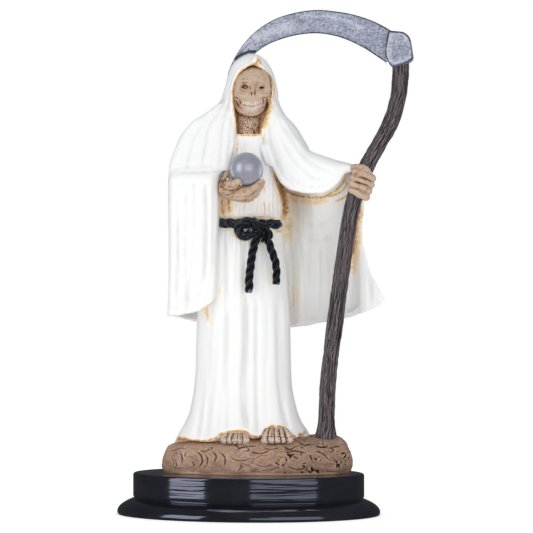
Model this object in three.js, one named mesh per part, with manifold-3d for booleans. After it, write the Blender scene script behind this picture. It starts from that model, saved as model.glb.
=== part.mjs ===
import * as THREE from "three";
import { mergeVertices } from "three/addons/utils/BufferGeometryUtils.js";
import Module from "manifold-3d";

// Skeleton saint in a hooded white robe, with a silver ball and a scythe, on an oval plinth.
// Millimetres, +Z up. The figure faces -Y and the plinth's underside is centred on the origin.

// Plinth: an oval block with a flange that swells outwards to the foot.
const plinthLength = 105;
const plinthDepth = 66;
const plinthHeight = 18.7;
const plinthEdge = 1;
const flangeHeight = 7.2;
const flangeOverhang = 7.2;
const flangeFoot = 1.3;

// Figure: cast in one piece with its mound and its rope belt, to the crown of the hood.
const figureHeight = 189.3;
const jointGap = 0.3;

// Ball in the raised hand.
const ballDiameter = 15;

// Scythe: a bent snath, a ferrule block and a curved blade, cast in one piece.
const snathDiameter = 7.2;
const snathFootDiameter = 9.4;
const bladeThickness = 2.6;
const bladeRoot = 13.4;
const bladeEdge = 0.9;
const ferruleDepth = 9;
const ferruleBevel = 1;
const socketDepth = 2.5;

// The figure's free form is carved at this height and scaled as a whole to figureHeight.
const carvedHeight = 189.3;
const carving = figureHeight / carvedHeight;

// What the free form holds keeps its own real size, given here at the carving size.
const drawn = (size) => size / carving;
const joint = drawn(jointGap);
const ballRadius = drawn(ballDiameter) / 2;
const snathRadius = drawn(snathDiameter) / 2;
const snathFootRadius = drawn(snathFootDiameter) / 2;

const wasm = await Module();
wasm.setup();

const mix = THREE.MathUtils.lerp;
const step = THREE.MathUtils.smoothstep;

// Soft bump of height 1 around a place.
function bump(value, place, width) {
  return Math.exp(-(((value - place) / width) ** 2));
}

// Smooth curve through rows of [place, value, value, ...], read in one column.
function read(rows, place, column = 1) {
  const last = rows.length - 1;
  const at = Math.min(Math.max(place, rows[0][0]), rows[last][0]);
  let k = 0;
  while (k < last - 1 && at > rows[k + 1][0]) {
    k += 1;
  }
  const slope = (a, b) => (rows[b][column] - rows[a][column]) / (rows[b][0] - rows[a][0]);
  const width = rows[k + 1][0] - rows[k][0];
  const here = slope(k, k + 1);
  const before = k > 0 ? slope(k - 1, k) : here;
  const after = k < last - 1 ? slope(k + 1, k + 2) : here;
  const level = (a, b) => (a * b <= 0 ? 0 : (2 * a * b) / (a + b));
  const start = level(before, here) * width;
  const end = level(here, after) * width;
  const t = (at - rows[k][0]) / width;
  const rise = rows[k + 1][column] - rows[k][column];
  return rows[k][column] + start * t + (3 * rise - 2 * start - end) * t * t + (start + end - 2 * rise) * t ** 3;
}

// Moves every vertex of a blank to the place that a function gives.
function moulded(blank, place) {
  const position = blank.attributes.position;
  const point = new THREE.Vector3();
  for (let i = 0; i < position.count; i += 1) {
    point.fromBufferAttribute(position, i);
    position.setXYZ(i, ...place(point));
  }
  return blank;
}

// Upright closed body: `wall(angle, share)` gives the side, the ends close to their middle.
function column(around, up, wall) {
  const blank = new THREE.CylinderGeometry(1, 1, 1, around, up).rotateX(Math.PI / 2);
  return moulded(blank, (p) => {
    const share = p.z + 0.5;
    if (Math.hypot(p.x, p.y) > 0.5) {
      return wall(Math.atan2(p.y, p.x), share);
    }
    const left = wall(Math.PI, share);
    const right = wall(0, share);
    const front = wall(-Math.PI / 2, share);
    const back = wall(Math.PI / 2, share);
    return [0, 1, 2].map((axis) => (left[axis] + right[axis] + front[axis] + back[axis]) / 4);
  });
}

// Cloth body: `place(across, up, side)` gives a point, side -1 in front and 1 behind.
function cloth(columns, rows, place) {
  const blank = new THREE.BoxGeometry(1, 2, 1, columns, 1, rows);
  return moulded(blank, (p) => place(p.x + 0.5, p.z + 0.5, p.y));
}

// Rounded body along a smooth route; `reach(share, angle)` gives its radius.
function strand(route, around, along, reach) {
  const curve = new THREE.CatmullRomCurve3(route.map((p) => new THREE.Vector3(...p)));
  const frames = curve.computeFrenetFrames(along);
  const blank = new THREE.CylinderGeometry(1, 1, 1, around, along).rotateX(Math.PI / 2);
  return moulded(blank, (p) => {
    const ring = Math.round((p.z + 0.5) * along);
    const share = ring / along;
    const radius = Math.hypot(p.x, p.y) > 0.5 ? reach(share, Math.atan2(p.y, p.x)) : 0;
    const dome = radius === 0 ? Math.sign(p.z) * reach(share, 0) * 0.5 : 0;
    const point = curve.getPointAt(share);
    point.addScaledVector(frames.normals[ring], p.x * radius);
    point.addScaledVector(frames.binormals[ring], p.y * radius);
    point.addScaledVector(frames.tangents[ring], dome);
    return point.toArray();
  });
}

// Radius of a finger, toe or rope end: full along its length and rounded at both tips.
function tapered(radius, share, tip = 0.18) {
  const inset = Math.max(0, 1 - Math.min(share, 1 - share) / tip);
  return radius * Math.sqrt(1 - 0.75 * inset * inset);
}

// Point of an upright oval section between its four sides; a low corner makes it squarer.
function oval(angle, left, right, front, back, corner = 1) {
  const across = Math.sign(Math.cos(angle)) * Math.abs(Math.cos(angle)) ** corner;
  const deep = Math.sign(Math.sin(angle)) * Math.abs(Math.sin(angle)) ** corner;
  const x = (left + right) / 2 + ((right - left) / 2) * across;
  const y = (front + back) / 2 + ((back - front) / 2) * deep;
  return [x, y];
}

// Angle that crowds the vertices of a ring towards its front.
function frontal(angle, crowding = 0.35) {
  return angle - crowding * Math.cos(angle);
}

// Squashed ball about a centre.
function lump(centre, size, around = 12, rings = 8) {
  const blank = new THREE.SphereGeometry(1, around, rings).rotateX(Math.PI / 2);
  return moulded(blank, (p) => [
    centre[0] + p.x * size[0],
    centre[1] + p.y * size[1],
    centre[2] + p.z * size[2],
  ]);
}

// Turns a closed geometry into a solid that can be joined and cut.
function solid(geometry) {
  geometry.deleteAttribute("normal");
  geometry.deleteAttribute("uv");
  const merged = mergeVertices(geometry, 1e-4);
  const corners = merged.index.array;
  const kept = [];
  for (let i = 0; i < corners.length; i += 3) {
    const [a, b, c] = [corners[i], corners[i + 1], corners[i + 2]];
    if (a !== b && b !== c && c !== a) {
      kept.push(a, b, c);
    }
  }
  return new wasm.Manifold(new wasm.Mesh({
    numProp: 3,
    vertProperties: new Float32Array(merged.attributes.position.array),
    triVerts: new Uint32Array(kept),
  }));
}

function joined(geometries) {
  return geometries.map(solid).reduce((all, next) => all.add(next));
}

// Shallow cloth folds: each row holds x at the foot, x at the head, depth and width.
function folds(rows, x, share) {
  return rows.reduce((sum, [foot, head, depth, width]) => sum + depth * bump(x, mix(foot, head, share), width), 0);
}

// Rocky mound: an oval loaf with uneven sides and a lumpy top.
const moundHeight = 13.4;
const moundMiddle = [2.8, 6];
const moundPlan = [-40.6, 46.2, -16, 28];
const moundSides = [[0, 0.965], [0.2, 0.995], [0.5, 1], [0.78, 0.985], [0.93, 0.95], [1, 0.9]];
function mound() {
  return column(32, 4, (angle, share) => {
    const rough = 0.012 * Math.sin(5 * angle + 1) + 0.01 * Math.sin(11 * angle + 4 * share);
    const spread = read(moundSides, share) + rough;
    const [x, y] = oval(angle, ...moundPlan, 0.86);
    const top = 0.7 * Math.sin(7 * angle) * step(share, 0.7, 1);
    return [mix(moundMiddle[0], x, spread), mix(moundMiddle[1], y, spread), share * moundHeight + top];
  });
}

// Gown from the mound to the neck: [height, left, right, front, back].
const gownRows = [
  [12, -35, 29.2, -11.4, 27],
  [14.5, -34, 28.2, -11.8, 27],
  [18.5, -31.7, 26, -12.2, 26.4],
  [23, -29.2, 23.2, -12.4, 26],
  [28, -27.2, 21.3, -12.5, 25.4],
  [41, -25, 18.9, -12.5, 24.5],
  [64, -24.1, 18.4, -12.5, 23.5],
  [91, -22.7, 16.6, -12, 22],
  [105, -20.9, 15.2, -11.4, 21],
  [112.5, -18.8, 14.6, -10.6, 20.4],
  [123, -18.6, 15.2, -10.8, 20.2],
  [132, -17.2, 13.9, -10, 20],
  [141.5, -14.5, 10.5, -8.4, 19],
  [149, -10, 8, -6.6, 17],
  [153, -6.4, 6, -5, 14],
];
const gownFront = [
  [-23, -15, 0.5, 1.6],
  [-17.6, -14.5, 0.7, 1.5],
  [-8.4, -10.4, 0.8, 1.5],
  [0, -1, 1.2, 1.6],
  [5.4, 3.6, 0.5, 1.2],
  [17.6, 11.6, 1.1, 1.6],
];
function gown() {
  const [foot, head] = [gownRows[0][0], gownRows[gownRows.length - 1][0]];
  return column(36, 11, (angle, share) => {
    const height = mix(foot, head, share);
    const [left, right, front, back] = [1, 2, 3, 4].map((k) => read(gownRows, height, k));
    let [x, y] = oval(frontal(angle), left, right, front, back, 0.9);
    const waist = step(height, 100, 112);
    if (y < 5) {
      y += folds(gownFront, x, share) * (1 - 0.6 * waist) * (1 - step(y, 0, 5));
    } else {
      y -= 0.8 * (1 + Math.cos(x * 0.9)) * step(y, 12, 20);
    }
    return [x, y, height];
  });
}

// Hem, upper line, edges and plan of the cape that hangs behind and under the held-out arm.
const capeHem = [[0, 70.5], [0.06, 68.8], [0.12, 67.2], [0.24, 65.4], [0.4, 64.2], [0.55, 65],
  [0.7, 67.6], [0.82, 70], [0.93, 73.8], [1, 77]];
const capeTop = [[-34.6, 134], [-33, 142], [-30.5, 149], [-27, 154], [-21, 159], [-14, 164], [-8, 168],
  [0, 170], [8, 168], [14, 163], [18, 158], [22, 152.5], [26, 146], [30, 142.6], [37, 140.4], [46, 138], [50.5, 136]];
const capeLeft = [[60, -37], [78, -36.3], [92, -35.4], [110, -35.1], [137, -34.6]];
const capeRight = [[60, 66], [77, 62.3], [85.5, 58.1], [92, 54.9], [98, 53.1], [105, 51.7], [110.5, 51.5],
  [116.5, 52.2], [123, 52.4], [130, 51.8], [137, 50.5]];
const capePlan = [[-37, 5], [-30, 12], [-20, 18], [-8, 22], [5, 23], [16, 21], [26, 16.5], [38, 11.5],
  [50, 6], [62, 0]];
const capeNape = [[-34, 5], [-26, 10], [-12, 13.6], [0, 14.4], [10, 13.4], [20, 9], [30, 6]];
const wingFolds = [[30, 27, 1.2, 3], [41, 36, 1.4, 3.2], [52, 45, 1.2, 3]];
function cape() {
  return cloth(21, 8, (across, up, side) => {
    const headX = mix(-34.6, 50.5, across);
    const height = mix(read(capeHem, across), read(capeTop, headX), up);
    const x = mix(read(capeLeft, height), read(capeRight, height), across);
    const shoulder = step(height, 125, 165);
    const wing = step(x, 18, 34);
    const arm = wing * step(height, 96, 134);
    const pleats = 0.9 * Math.cos(x * 0.55) * (1 - wing) * (1 - step(height, 100, 140));
    const hung = read(capePlan, x) - wing * folds(wingFolds, x, up) - pleats;
    const y = mix(mix(hung, read(capeNape, x), shoulder * (1 - wing)), 4.5, arm);
    const rim = Math.min(1, Math.min(across, 1 - across) * 26 + 0.45);
    const half = mix(mix(2.6, 1.5, wing), 3.2, shoulder) * rim;
    return [x, y + side * half, height];
  });
}

// Sleeve that hangs as a deep bell from the bent forearm.
const sleeveRows = [
  [70, -36.4, -25, -14.5, 4],
  [76, -35.9, -13.2, -15.5, 5],
  [84, -35.4, -12.2, -16.5, 6],
  [96, -35, -12, -17.5, 7],
  [110, -34.8, -11.6, -18.4, 8],
  [123, -34.8, -11.5, -19, 9],
  [132, -34.8, -11, -19.2, 10],
  [136.6, -34.4, -9.4, -16.2, 10],
];
const sleeveHem = [[-36, 70.4], [-30, 70.8], [-26, 71.6], [-21, 72.8], [-17.5, 74.5], [-14.3, 77], [-12.5, 80.3],
  [-11.6, 84.8]];
const sleeveFolds = [[-31, -30, 0.8, 1.1], [-26.5, -26, 1.1, 1.4], [-22, -21, 0.8, 1.1], [-17.5, -16.5, 0.9, 1.2]];
function sleeve() {
  const head = 136.6;
  return column(24, 6, (angle, share) => {
    const [left, right] = [1, 2].map((k) => read(sleeveRows, mix(78, head, share), k));
    const x = oval(angle, left, right, 0, 1, 0.7)[0];
    const height = mix(read(sleeveHem, x), head, share);
    const [front, back] = [3, 4].map((k) => read(sleeveRows, height, k));
    const y = oval(angle, 0, 1, front, back, 0.7)[1];
    const fold = folds(sleeveFolds, x, share) * step(-y, 4, 12) * (1 - step(share, 0.75, 0.95));
    return [x, y + fold, height];
  });
}

// The cape's front halves over both shoulders: [height, left, right, front, back].
const leftShoulder = [
  [135, -34.8, -6.4, -15, 13],
  [137, -34.6, -6, -15.4, 13],
  [141.5, -33.7, -5.6, -14.6, 14],
  [146, -32.1, -5.2, -13.6, 15],
  [150.6, -30.5, -4.9, -12.4, 15],
  [155, -27.8, -4.8, -11.2, 15],
  [158, -25.2, -5.2, -10.4, 15],
  [161, -20.6, -5.6, -9.2, 14],
  [163.5, -17, -5.9, -8, 12.5],
  [167, -13.4, -6.1, -5, 10],
];
const rightShoulder = [
  [136, 12.4, 29, -9.4, 12],
  [142, 10.4, 28.2, -9.6, 12],
  [146, 9, 27.3, -9.6, 13],
  [150.6, 7.4, 24.8, -9.6, 14],
  [155, 7.4, 22, -9.4, 14],
  [158, 8.4, 19.7, -9.2, 14],
  [161, 9.4, 17.1, -8, 13],
  [163.5, 10, 15.3, -6.4, 11.5],
  [167, 11, 13.4, -3, 8],
];
function shoulder(rows, pleats) {
  const [foot, head] = [rows[0][0], rows[rows.length - 1][0]];
  return column(16, 5, (angle, share) => {
    const height = mix(foot, head, share);
    const [left, right, front, back] = [1, 2, 3, 4].map((k) => read(rows, height, k));
    const [x, y] = oval(angle, left, right, front, back, 0.78);
    return [x, y + folds(pleats, x, share) * step(-y, 2, 8), height];
  });
}

// Sleeve over the held-out arm: a sagging fold of cloth with a thin lower lip.
const armTop = [[6, 168], [13.5, 166], [15.7, 161.5], [18.9, 157.4], [23.5, 151.5], [27.5, 145.6], [32.5, 143.6],
  [37, 142], [41.6, 140.6], [46.1, 139.4], [51, 137.6]];
const armLip = [[6, 150], [9, 143.5], [12, 137], [16.5, 129.4], [20, 127.2], [24.2, 126], [28.2, 125.4], [33.2, 125.5],
  [37.7, 127], [42.2, 130.4], [45.8, 135], [51, 134.6]];
const armFront = [[6, -7], [12, -10], [18, -11.5], [28, -12.5], [38, -12], [46, -10], [51, -8.5]];
function arm() {
  const blank = new THREE.CylinderGeometry(1, 1, 1, 18, 10).rotateZ(-Math.PI / 2);
  return moulded(blank, (p) => {
    const x = mix(6, 50.4, p.x + 0.5);
    const [bottom, top, front] = [armLip, armTop, armFront].map((rows) => read(rows, x));
    const [radius, angle] = [Math.hypot(p.y, p.z), Math.atan2(p.y, p.z)];
    const [deep, high] = oval(angle, 0, 1, 0, 1, 0.85).map((value) => mix(0.5, value, radius));
    const back = mix(front + 2.6, 9, step(high, 0.1, 0.75));
    const sag = 0.9 * Math.sin(high * 15 - 2) * step(1 - deep, 0.4, 0.9) * step(x, 10, 16) * (1 - step(x, 40, 48));
    return [x, mix(back, front, deep) - sag, mix(bottom, top, high)];
  });
}

// Hood: [height, left, right, front, back].
const hoodRows = [
  [146, -13, 13.5, -7.8, 17],
  [158, -15, 14.6, -9, 18.2],
  [165, -14.8, 14.2, -9.6, 18.2],
  [168.7, -12.7, 13.3, -10, 17.8],
  [173, -11.3, 12.9, -10.2, 17.2],
  [177.7, -10, 11.9, -10, 16],
  [182.3, -8.5, 10.4, -8.8, 14.4],
  [185.4, -6.6, 8.6, -7, 12.6],
  [187.7, -3.6, 6.2, -4, 9.6],
  [189.2, -0.4, 3.6, -0.6, 5.6],
];
function hood() {
  const [foot, head] = [hoodRows[0][0], hoodRows[hoodRows.length - 1][0]];
  return column(24, 7, (angle, share) => {
    const height = mix(foot, head, 1 - (1 - share) ** 1.4);
    const [left, right, front, back] = [1, 2, 3, 4].map((k) => read(hoodRows, height, k));
    return [...oval(angle, left, right, front, back, 0.92), height];
  });
}

// Opening of the hood around the face: [height, left, right].
const openingRows = [
  [150.5, -4.2, 6.4],
  [152.5, -4.6, 6.7],
  [158.9, -5.2, 9],
  [165.6, -6.1, 11.2],
  [170.1, -6.4, 12],
  [174.6, -5.7, 11.9],
  [179.1, -4, 10.6],
  [181.8, -1.9, 7.8],
  [183.5, 1.6, 4.4],
];
function opening() {
  return column(16, 7, (angle, share) => {
    const height = mix(150.5, 183.5, share);
    const [left, right] = [1, 2].map((k) => read(openingRows, height, k));
    return [...oval(angle, left, right, -24, mix(-3, 1, share), 0.6), height];
  });
}

// Skull: an egg with brow, sockets, nose, cheekbones, teeth and chin: [height, left, right, front].
const skullRows = [
  [160, -0.6, 5.2, -9.2],
  [161.2, -2.6, 6.4, -10.4],
  [163.7, -5.2, 8, -11.2],
  [166.4, -6, 9.2, -11.6],
  [169.6, -6.3, 10.4, -11.4],
  [172.7, -5.9, 10.7, -11.2],
  [177.2, -5.2, 10.6, -11],
  [179.5, -4, 9.8, -10],
  [181.7, -2, 7.6, -8],
  [183.2, 1.4, 3.6, -5],
];
function skull() {
  return column(22, 13, (angle, share) => {
    const height = mix(160, 183.2, 0.5 - 0.5 * Math.cos(Math.PI * share));
    const [left, right, front] = [1, 2, 3].map((k) => read(skullRows, height, k));
    const [x, y] = oval(frontal(angle, 0.6), left, right, front, 4, 0.95);
    const face = step(-y, 4, 9);
    const cheeks = bump(x, -4.3, 1.5) * bump(height, 166.2, 1.8) + bump(x, 8.3, 1.5) * bump(height, 166.2, 1.8);
    const teeth = bump(x, 2, 4.2) * bump(height, 165.9, 1.6);
    const brow = bump(height, 176.2, 1.3);
    return [x, y + face * (1.1 * cheeks - 0.7 * teeth - 0.4 * brow), height];
  });
}

// Hollows of the skull: eye sockets, nostrils and the line between the rows of teeth.
function hollows() {
  const sockets = [[-1.7, 174], [6.7, 173.6]].map(([x, height]) => lump([x, -12.2, height], [2.1, 2, 1.7], 7, 5));
  const nostrils = [[1.9, 171], [3.6, 171.2]].map(([x, height]) => lump([x, -12.6, height], [0.6, 1.6, 1.5], 5, 3));
  const bite = lump([2.1, -13.2, 165.7], [4.4, 1.6, 0.35], 8, 3);
  return [...sockets, ...nostrils, bite];
}

function neck() {
  return column(10, 1, (angle, share) => {
    const [x, y] = oval(angle, -4.5, 5.7, -7.6, 5, 0.9);
    return [x, y, mix(149, 162.5, share)];
  });
}

// Snath route from the mound to the ferrule.
const snathRoute = [
  [35, 2, moundHeight],
  [35.5, 1.2, 27],
  [36.4, -1, 43],
  [38.6, -3, 60],
  [41.5, -4.5, 82],
  [44.1, -5.5, 100],
  [46.2, -6, 113],
  [49.6, -6.2, 127],
  [54, -5.4, 138],
  [59.2, -3.6, 147.6],
  [64.4, -1, 157.5],
  [67.4, 1, 168],
  [68.6, 2, 178],
  [68.9, 2, 186],
];

// Blade centre line from the ferrule to the tip: x, y, height and width as a share of its root.
const bladeRoute = [
  [66, 2.4, 190.5, 1],
  [55, 3.6, 197.4, 0.95],
  [45.6, 5, 201.4, 0.87],
  [38, 6.2, 203.3, 0.81],
  [30.6, 7.4, 204.2, 0.79],
  [22.4, 8.2, 203.6, 0.76],
  [13.7, 9, 201.5, 0.72],
  [6.2, 9.6, 198, 0.62],
  [0.6, 10, 193.7, 0.53],
  [-4.6, 10.2, 187.5, 0.43],
  [-8.2, 9.8, 181, 0.32],
  [-9.6, 9.2, 175.5, 0.14],
];

function snath(grow) {
  const route = snathRoute.map(([x, y, height]) => [x, y, height]);
  route[0][2] -= drawn(socketDepth) + grow;
  const [radius, foot] = [snathRadius + grow, snathFootRadius + grow];
  return strand(route, 8, 18, (share, angle) => {
    const knotty = 1 + 0.025 * Math.sin(share * 47) + 0.02 * Math.sin(share * 23 + 2 * angle);
    return mix(foot, radius, step(share, 0, 0.07)) * knotty;
  });
}

// Curved plate: thick at its back, bevelled to a thin inner edge.
function blade(grow) {
  const curve = new THREE.CatmullRomCurve3(bladeRoute.map(([x, y, height]) => new THREE.Vector3(x, y, height)));
  const widths = bladeRoute.map((row, k) => [k / (bladeRoute.length - 1), row[3]]);
  const blank = new THREE.BoxGeometry(1, 1, 1, 20, 1, 3);
  return moulded(blank, (p) => {
    const share = 0.5 - p.x;
    const point = curve.getPoint(share);
    const along = curve.getTangent(share);
    const outwards = new THREE.Vector3(along.z, 0, -along.x).normalize();
    const width = read(widths, share) * drawn(bladeRoot) + 2 * grow;
    const bevel = step(p.z, -0.5, -0.12);
    const plate = drawn(mix(bladeEdge, bladeThickness, bevel)) * mix(1, 0.75, step(p.z, 0.3, 0.5));
    const thick = plate + 2 * grow;
    point.addScaledVector(outwards, p.z * width);
    return [point.x, point.y + p.y * thick, point.z];
  });
}

// Chamfered block that joins the blade to the snath.
const ferruleOutline = [[64.4, 198], [70, 197.4], [72.2, 195.6], [73.6, 186.8], [71.8, 185.2], [65.2, 183.8], [62.9, 188],
  [63.8, 196]];
function ferrule(grow) {
  const outline = new THREE.Shape(ferruleOutline.map(([x, height]) => new THREE.Vector2(x, height)));
  const depth = drawn(ferruleDepth - 2 * ferruleBevel);
  const bevel = drawn(ferruleBevel) + grow;
  const geometry = new THREE.ExtrudeGeometry(outline, {
    depth,
    bevelThickness: bevel,
    bevelSize: bevel,
    bevelSegments: 1,
    curveSegments: 1,
  });
  const middle = snathRoute[snathRoute.length - 1][1];
  return geometry.rotateX(Math.PI / 2).translate(0, middle + depth / 2, 0);
}

function scytheForm(grow) {
  return joined([snath(grow), blade(grow), ferrule(grow)]);
}

// Fist: four fingers round the snath, a thumb above them and the palm behind.
const fingerRadius = 1.75;
const fingerPitch = 2.9;
const gripCentre = [52, -6, 130.2];
const gripAxis = [0.4, 0.07, 0.91];
function fist() {
  const grip = new THREE.Vector3(...gripCentre);
  const axis = new THREE.Vector3(...gripAxis).normalize();
  const right = new THREE.Vector3(1, 0, 0).addScaledVector(axis, -axis.x).normalize();
  const forwards = new THREE.Vector3().crossVectors(right, axis).normalize();
  const reach = snathRadius + joint + fingerRadius * 0.8;
  const around = (height, turn, out) => grip.clone()
    .addScaledVector(axis, height)
    .addScaledVector(right, Math.cos(turn) * out)
    .addScaledVector(forwards, Math.sin(turn) * out)
    .toArray();
  const fingers = [0, 1, 2, 3].map((k) => {
    const height = (k - 1.6) * fingerPitch;
    const knuckle = reach + (k > 0 ? 0.8 : 0);
    const turns = [-0.7, 0, 0.7, 1.4, 2.1, 2.6];
    const route = turns.map((turn, n) => around(height - 0.25 * n, turn, n < 3 ? knuckle : reach));
    return strand(route, 5, 5, (share) => tapered(fingerRadius, share));
  });
  const thumb = strand([around(6, -1.4, reach + 1), around(6.4, 0, reach), around(5.4, 1.2, reach + 0.2),
    around(3.4, 2.2, reach)], 6, 4, (share) => tapered(2.3, share));
  const palm = lump(around(0.5, -2.1, 4), [5.4, 3.8, 6.8], 8, 5);
  const wrist = lump(around(3.5, 3.1, 5.5), [4.6, 3.6, 3.4], 7, 5);
  return [...fingers, thumb, palm, wrist];
}

// Open hand under the ball: stacked fingers below it, thumb across it and a fingertip beside it.
// Their routes run round the ball's centre in shares of its radius.
const ballCentre = [1.3, -19.6, 136.2];
const wristCentre = [-20, -9, 131];
const handSizes = [3, 3, 2.3, 1.5];
const handRoutes = [
  [[-1.91, 0.61, -1.23], [-1.11, 0.21, -1.36], [-0.31, -0.25, -1.47], [0.43, -0.32, -1.23], [0.92, -0.12, -0.75]],
  [[-1.91, 1.01, -1.28], [-1.11, 0.68, -1.41], [-0.17, 0.35, -1.52], [0.63, 0.28, -1.25], [1.05, 0.4, -0.77]],
  [[-1.77, 0.35, -0.91], [-1.24, -0.19, -0.96], [-0.71, -0.72, -0.88], [-0.15, -0.91, -0.72]],
  [[-1.32, 0.43, -1.31], [-1.45, 0.64, -0.69], [-1.16, 0.56, -0.11]],
];
function openHand() {
  const near = (shares) => shares.map((share, axis) => ballCentre[axis] + share * ballRadius);
  const digits = handRoutes.map((route, k) => strand(route.map(near), 6, 5, (share) => tapered(handSizes[k], share)));
  const palm = near([-0.71, 0.08, -1.21]);
  const wrist = strand([wristCentre, near([-1.7, 0.8, -1.1]), palm], 6, 3, (share) => tapered(3.2, share));
  return [...digits, lump(palm, [8, 5.4, 3], 9, 5), wrist];
}

// Bare feet under the hem: five toe bones each, fanned out from the instep.
const toeRadius = 1.6;
const toeReach = -15.4;
function foot(heel, first, last, top, [inner, outer]) {
  return [0, 1, 2, 3, 4].map((k) => {
    const share = k / 4;
    const x = mix(first, last, share);
    const tip = [x, toeReach - mix(inner, outer, share), moundHeight + toeRadius * 0.75];
    const knuckle = [mix(heel, x, 0.8), toeReach + 2, moundHeight + top * 0.7];
    const instep = [mix(heel, x, 0.5), toeReach / 2, moundHeight + top];
    return strand([instep, knuckle, tip], 5, 2, (t) => tapered(toeRadius, t));
  });
}

// Twisted rope: three strands wound round each other.
function rope(route, radius, pitch, tips) {
  const length = new THREE.CatmullRomCurve3(route.map((p) => new THREE.Vector3(...p))).getLength();
  const along = Math.round(length / 2.3);
  return strand(route, 6, along, (share, angle) => {
    const lay = Math.cos(3 * angle - (share * length * 2 * Math.PI) / pitch);
    return tapered(radius, share, tips) * (1 + 0.2 * lay);
  });
}

// Rope belt with its knot, loop and two hanging tails.
const waistRoute = [[-17, -8.4, 112.8], [-11, -11.2, 112.6], [-4, -12.4, 112.3], [3.5, -12.8, 112.1], [10, -12, 112],
  [15, -9.4, 112], [18, -4, 112]];
const loopRoute = [[6, -14.4, 112.4], [1, -15, 113], [-2.6, -14.8, 110.6], [-1.8, -15, 107.2], [1.6, -15.2, 107],
  [4.6, -15, 109.4]];
const leftTailRoute = [[6.6, -15, 109], [5, -14.8, 105], [4, -14.6, 101.5], [3.1, -14.6, 97], [2.6, -14.6, 93],
  [2, -14.6, 88], [2, -14.6, 81.5]];
const rightTailRoute = [[8, -14.6, 108.5], [10.4, -14.2, 104.5], [12.2, -14, 99.5], [13.7, -13.8, 95],
  [14.2, -13.6, 90], [13.8, -13.4, 84.8]];
const ropeRadii = { waist: 2.2, loop: 1.6, leftTail: 1.75, rightTail: 1.65 };
const ropePitch = 14;
const knotCentre = [7.4, -14.4, 109.6];
const knotSize = [4, 2.6, 4.2];
function belt() {
  return [
    rope(waistRoute, ropeRadii.waist, ropePitch, 0.05),
    rope(loopRoute, ropeRadii.loop, ropePitch * 0.85, 0.1),
    rope(leftTailRoute, ropeRadii.leftTail, ropePitch, 0.1),
    rope(rightTailRoute, ropeRadii.rightTail, ropePitch, 0.1),
    lump(knotCentre, knotSize, 8, 5),
  ];
}

// Whole figure at its carving size, cut where the scythe and the ball are let in.
function figureForm() {
  const robes = joined([
    mound(),
    gown(),
    cape(),
    sleeve(),
    shoulder(leftShoulder, [[-28, -20, 0.9, 1.5], [-21, -15, 0.7, 1.3], [-13, -10, 0.6, 1.2]]),
    shoulder(rightShoulder, [[17, 13, 0.7, 1.1], [22, 16, 0.6, 1.1]]),
    arm(),
    hood(),
  ]);
  const toes = [...foot(-4, -9.8, 0.8, 4, [0, 0.6]), ...foot(12, 9, 20.6, 6, [0.8, -1.4])];
  const head = solid(skull()).subtract(joined(hollows()));
  const bones = head.add(joined([neck(), ...toes, ...fist(), ...openHand()]));
  const ballSeat = solid(ballForm(joint));
  return robes.subtract(solid(opening()))
    .add(bones)
    .add(joined(belt()))
    .subtract(scytheForm(joint))
    .subtract(ballSeat);
}

// Plinth: the flange's swelling curve and the upper tier turned in one profile, then made oval.
function plinthForm() {
  const radius = plinthLength / 2;
  const foot = new THREE.Vector2(radius + flangeOverhang, flangeFoot);
  const swell = new THREE.QuadraticBezierCurve(
    foot,
    new THREE.Vector2(radius + flangeOverhang, flangeHeight * 0.62),
    new THREE.Vector2(radius, flangeHeight),
  ).getPoints(4);
  const profile = [
    new THREE.Vector2(0, 0),
    new THREE.Vector2(radius + flangeOverhang - flangeFoot * 0.6, 0),
    ...swell,
    new THREE.Vector2(radius, plinthHeight - plinthEdge),
    new THREE.Vector2(radius - plinthEdge * 0.3, plinthHeight - plinthEdge * 0.3),
    new THREE.Vector2(radius - plinthEdge, plinthHeight),
    new THREE.Vector2(0, plinthHeight),
  ];
  const turned = new THREE.LatheGeometry(profile, 32).rotateX(Math.PI / 2);
  return moulded(turned, (p) => {
    const reach = Math.hypot(p.x, p.y);
    const narrower = reach > 1e-6 ? (reach - (plinthLength - plinthDepth) / 2) / reach : 1;
    return [p.x, p.y * narrower, p.z];
  });
}

function ballForm(grow) {
  return lump(ballCentre, Array(3).fill(ballRadius + grow), 16, 8);
}

// Closed mesh of one piece in its own material.
function piece(name, form, colour, roughness, metalness) {
  const mesh = form.getMesh();
  const geometry = new THREE.BufferGeometry();
  geometry.setAttribute("position", new THREE.BufferAttribute(new Float32Array(mesh.vertProperties), 3));
  geometry.setIndex(new THREE.BufferAttribute(new Uint32Array(mesh.triVerts), 1));
  const material = new THREE.MeshStandardMaterial({ color: colour, roughness, metalness });
  const result = new THREE.Mesh(geometry, material);
  result.name = name;
  return result;
}

// The figure stands on the plinth and everything that it holds is placed and scaled with it.
function standing(form) {
  return form.scale(carving).translate([0, 0, plinthHeight + jointGap]);
}

const group = new THREE.Group();
group.add(piece("plinth", solid(plinthForm()), 0x16181c, 0.15, 0));
group.add(piece("figure", standing(figureForm()), 0xeeedea, 0.5, 0));
group.add(piece("scythe", standing(scytheForm(0)), 0x6d6a74, 0.5, 0.3));
group.add(piece("ball", standing(solid(ballForm(0))), 0x9a9ca4, 0.35, 0.6));
export default group;
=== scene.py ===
import math

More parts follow.
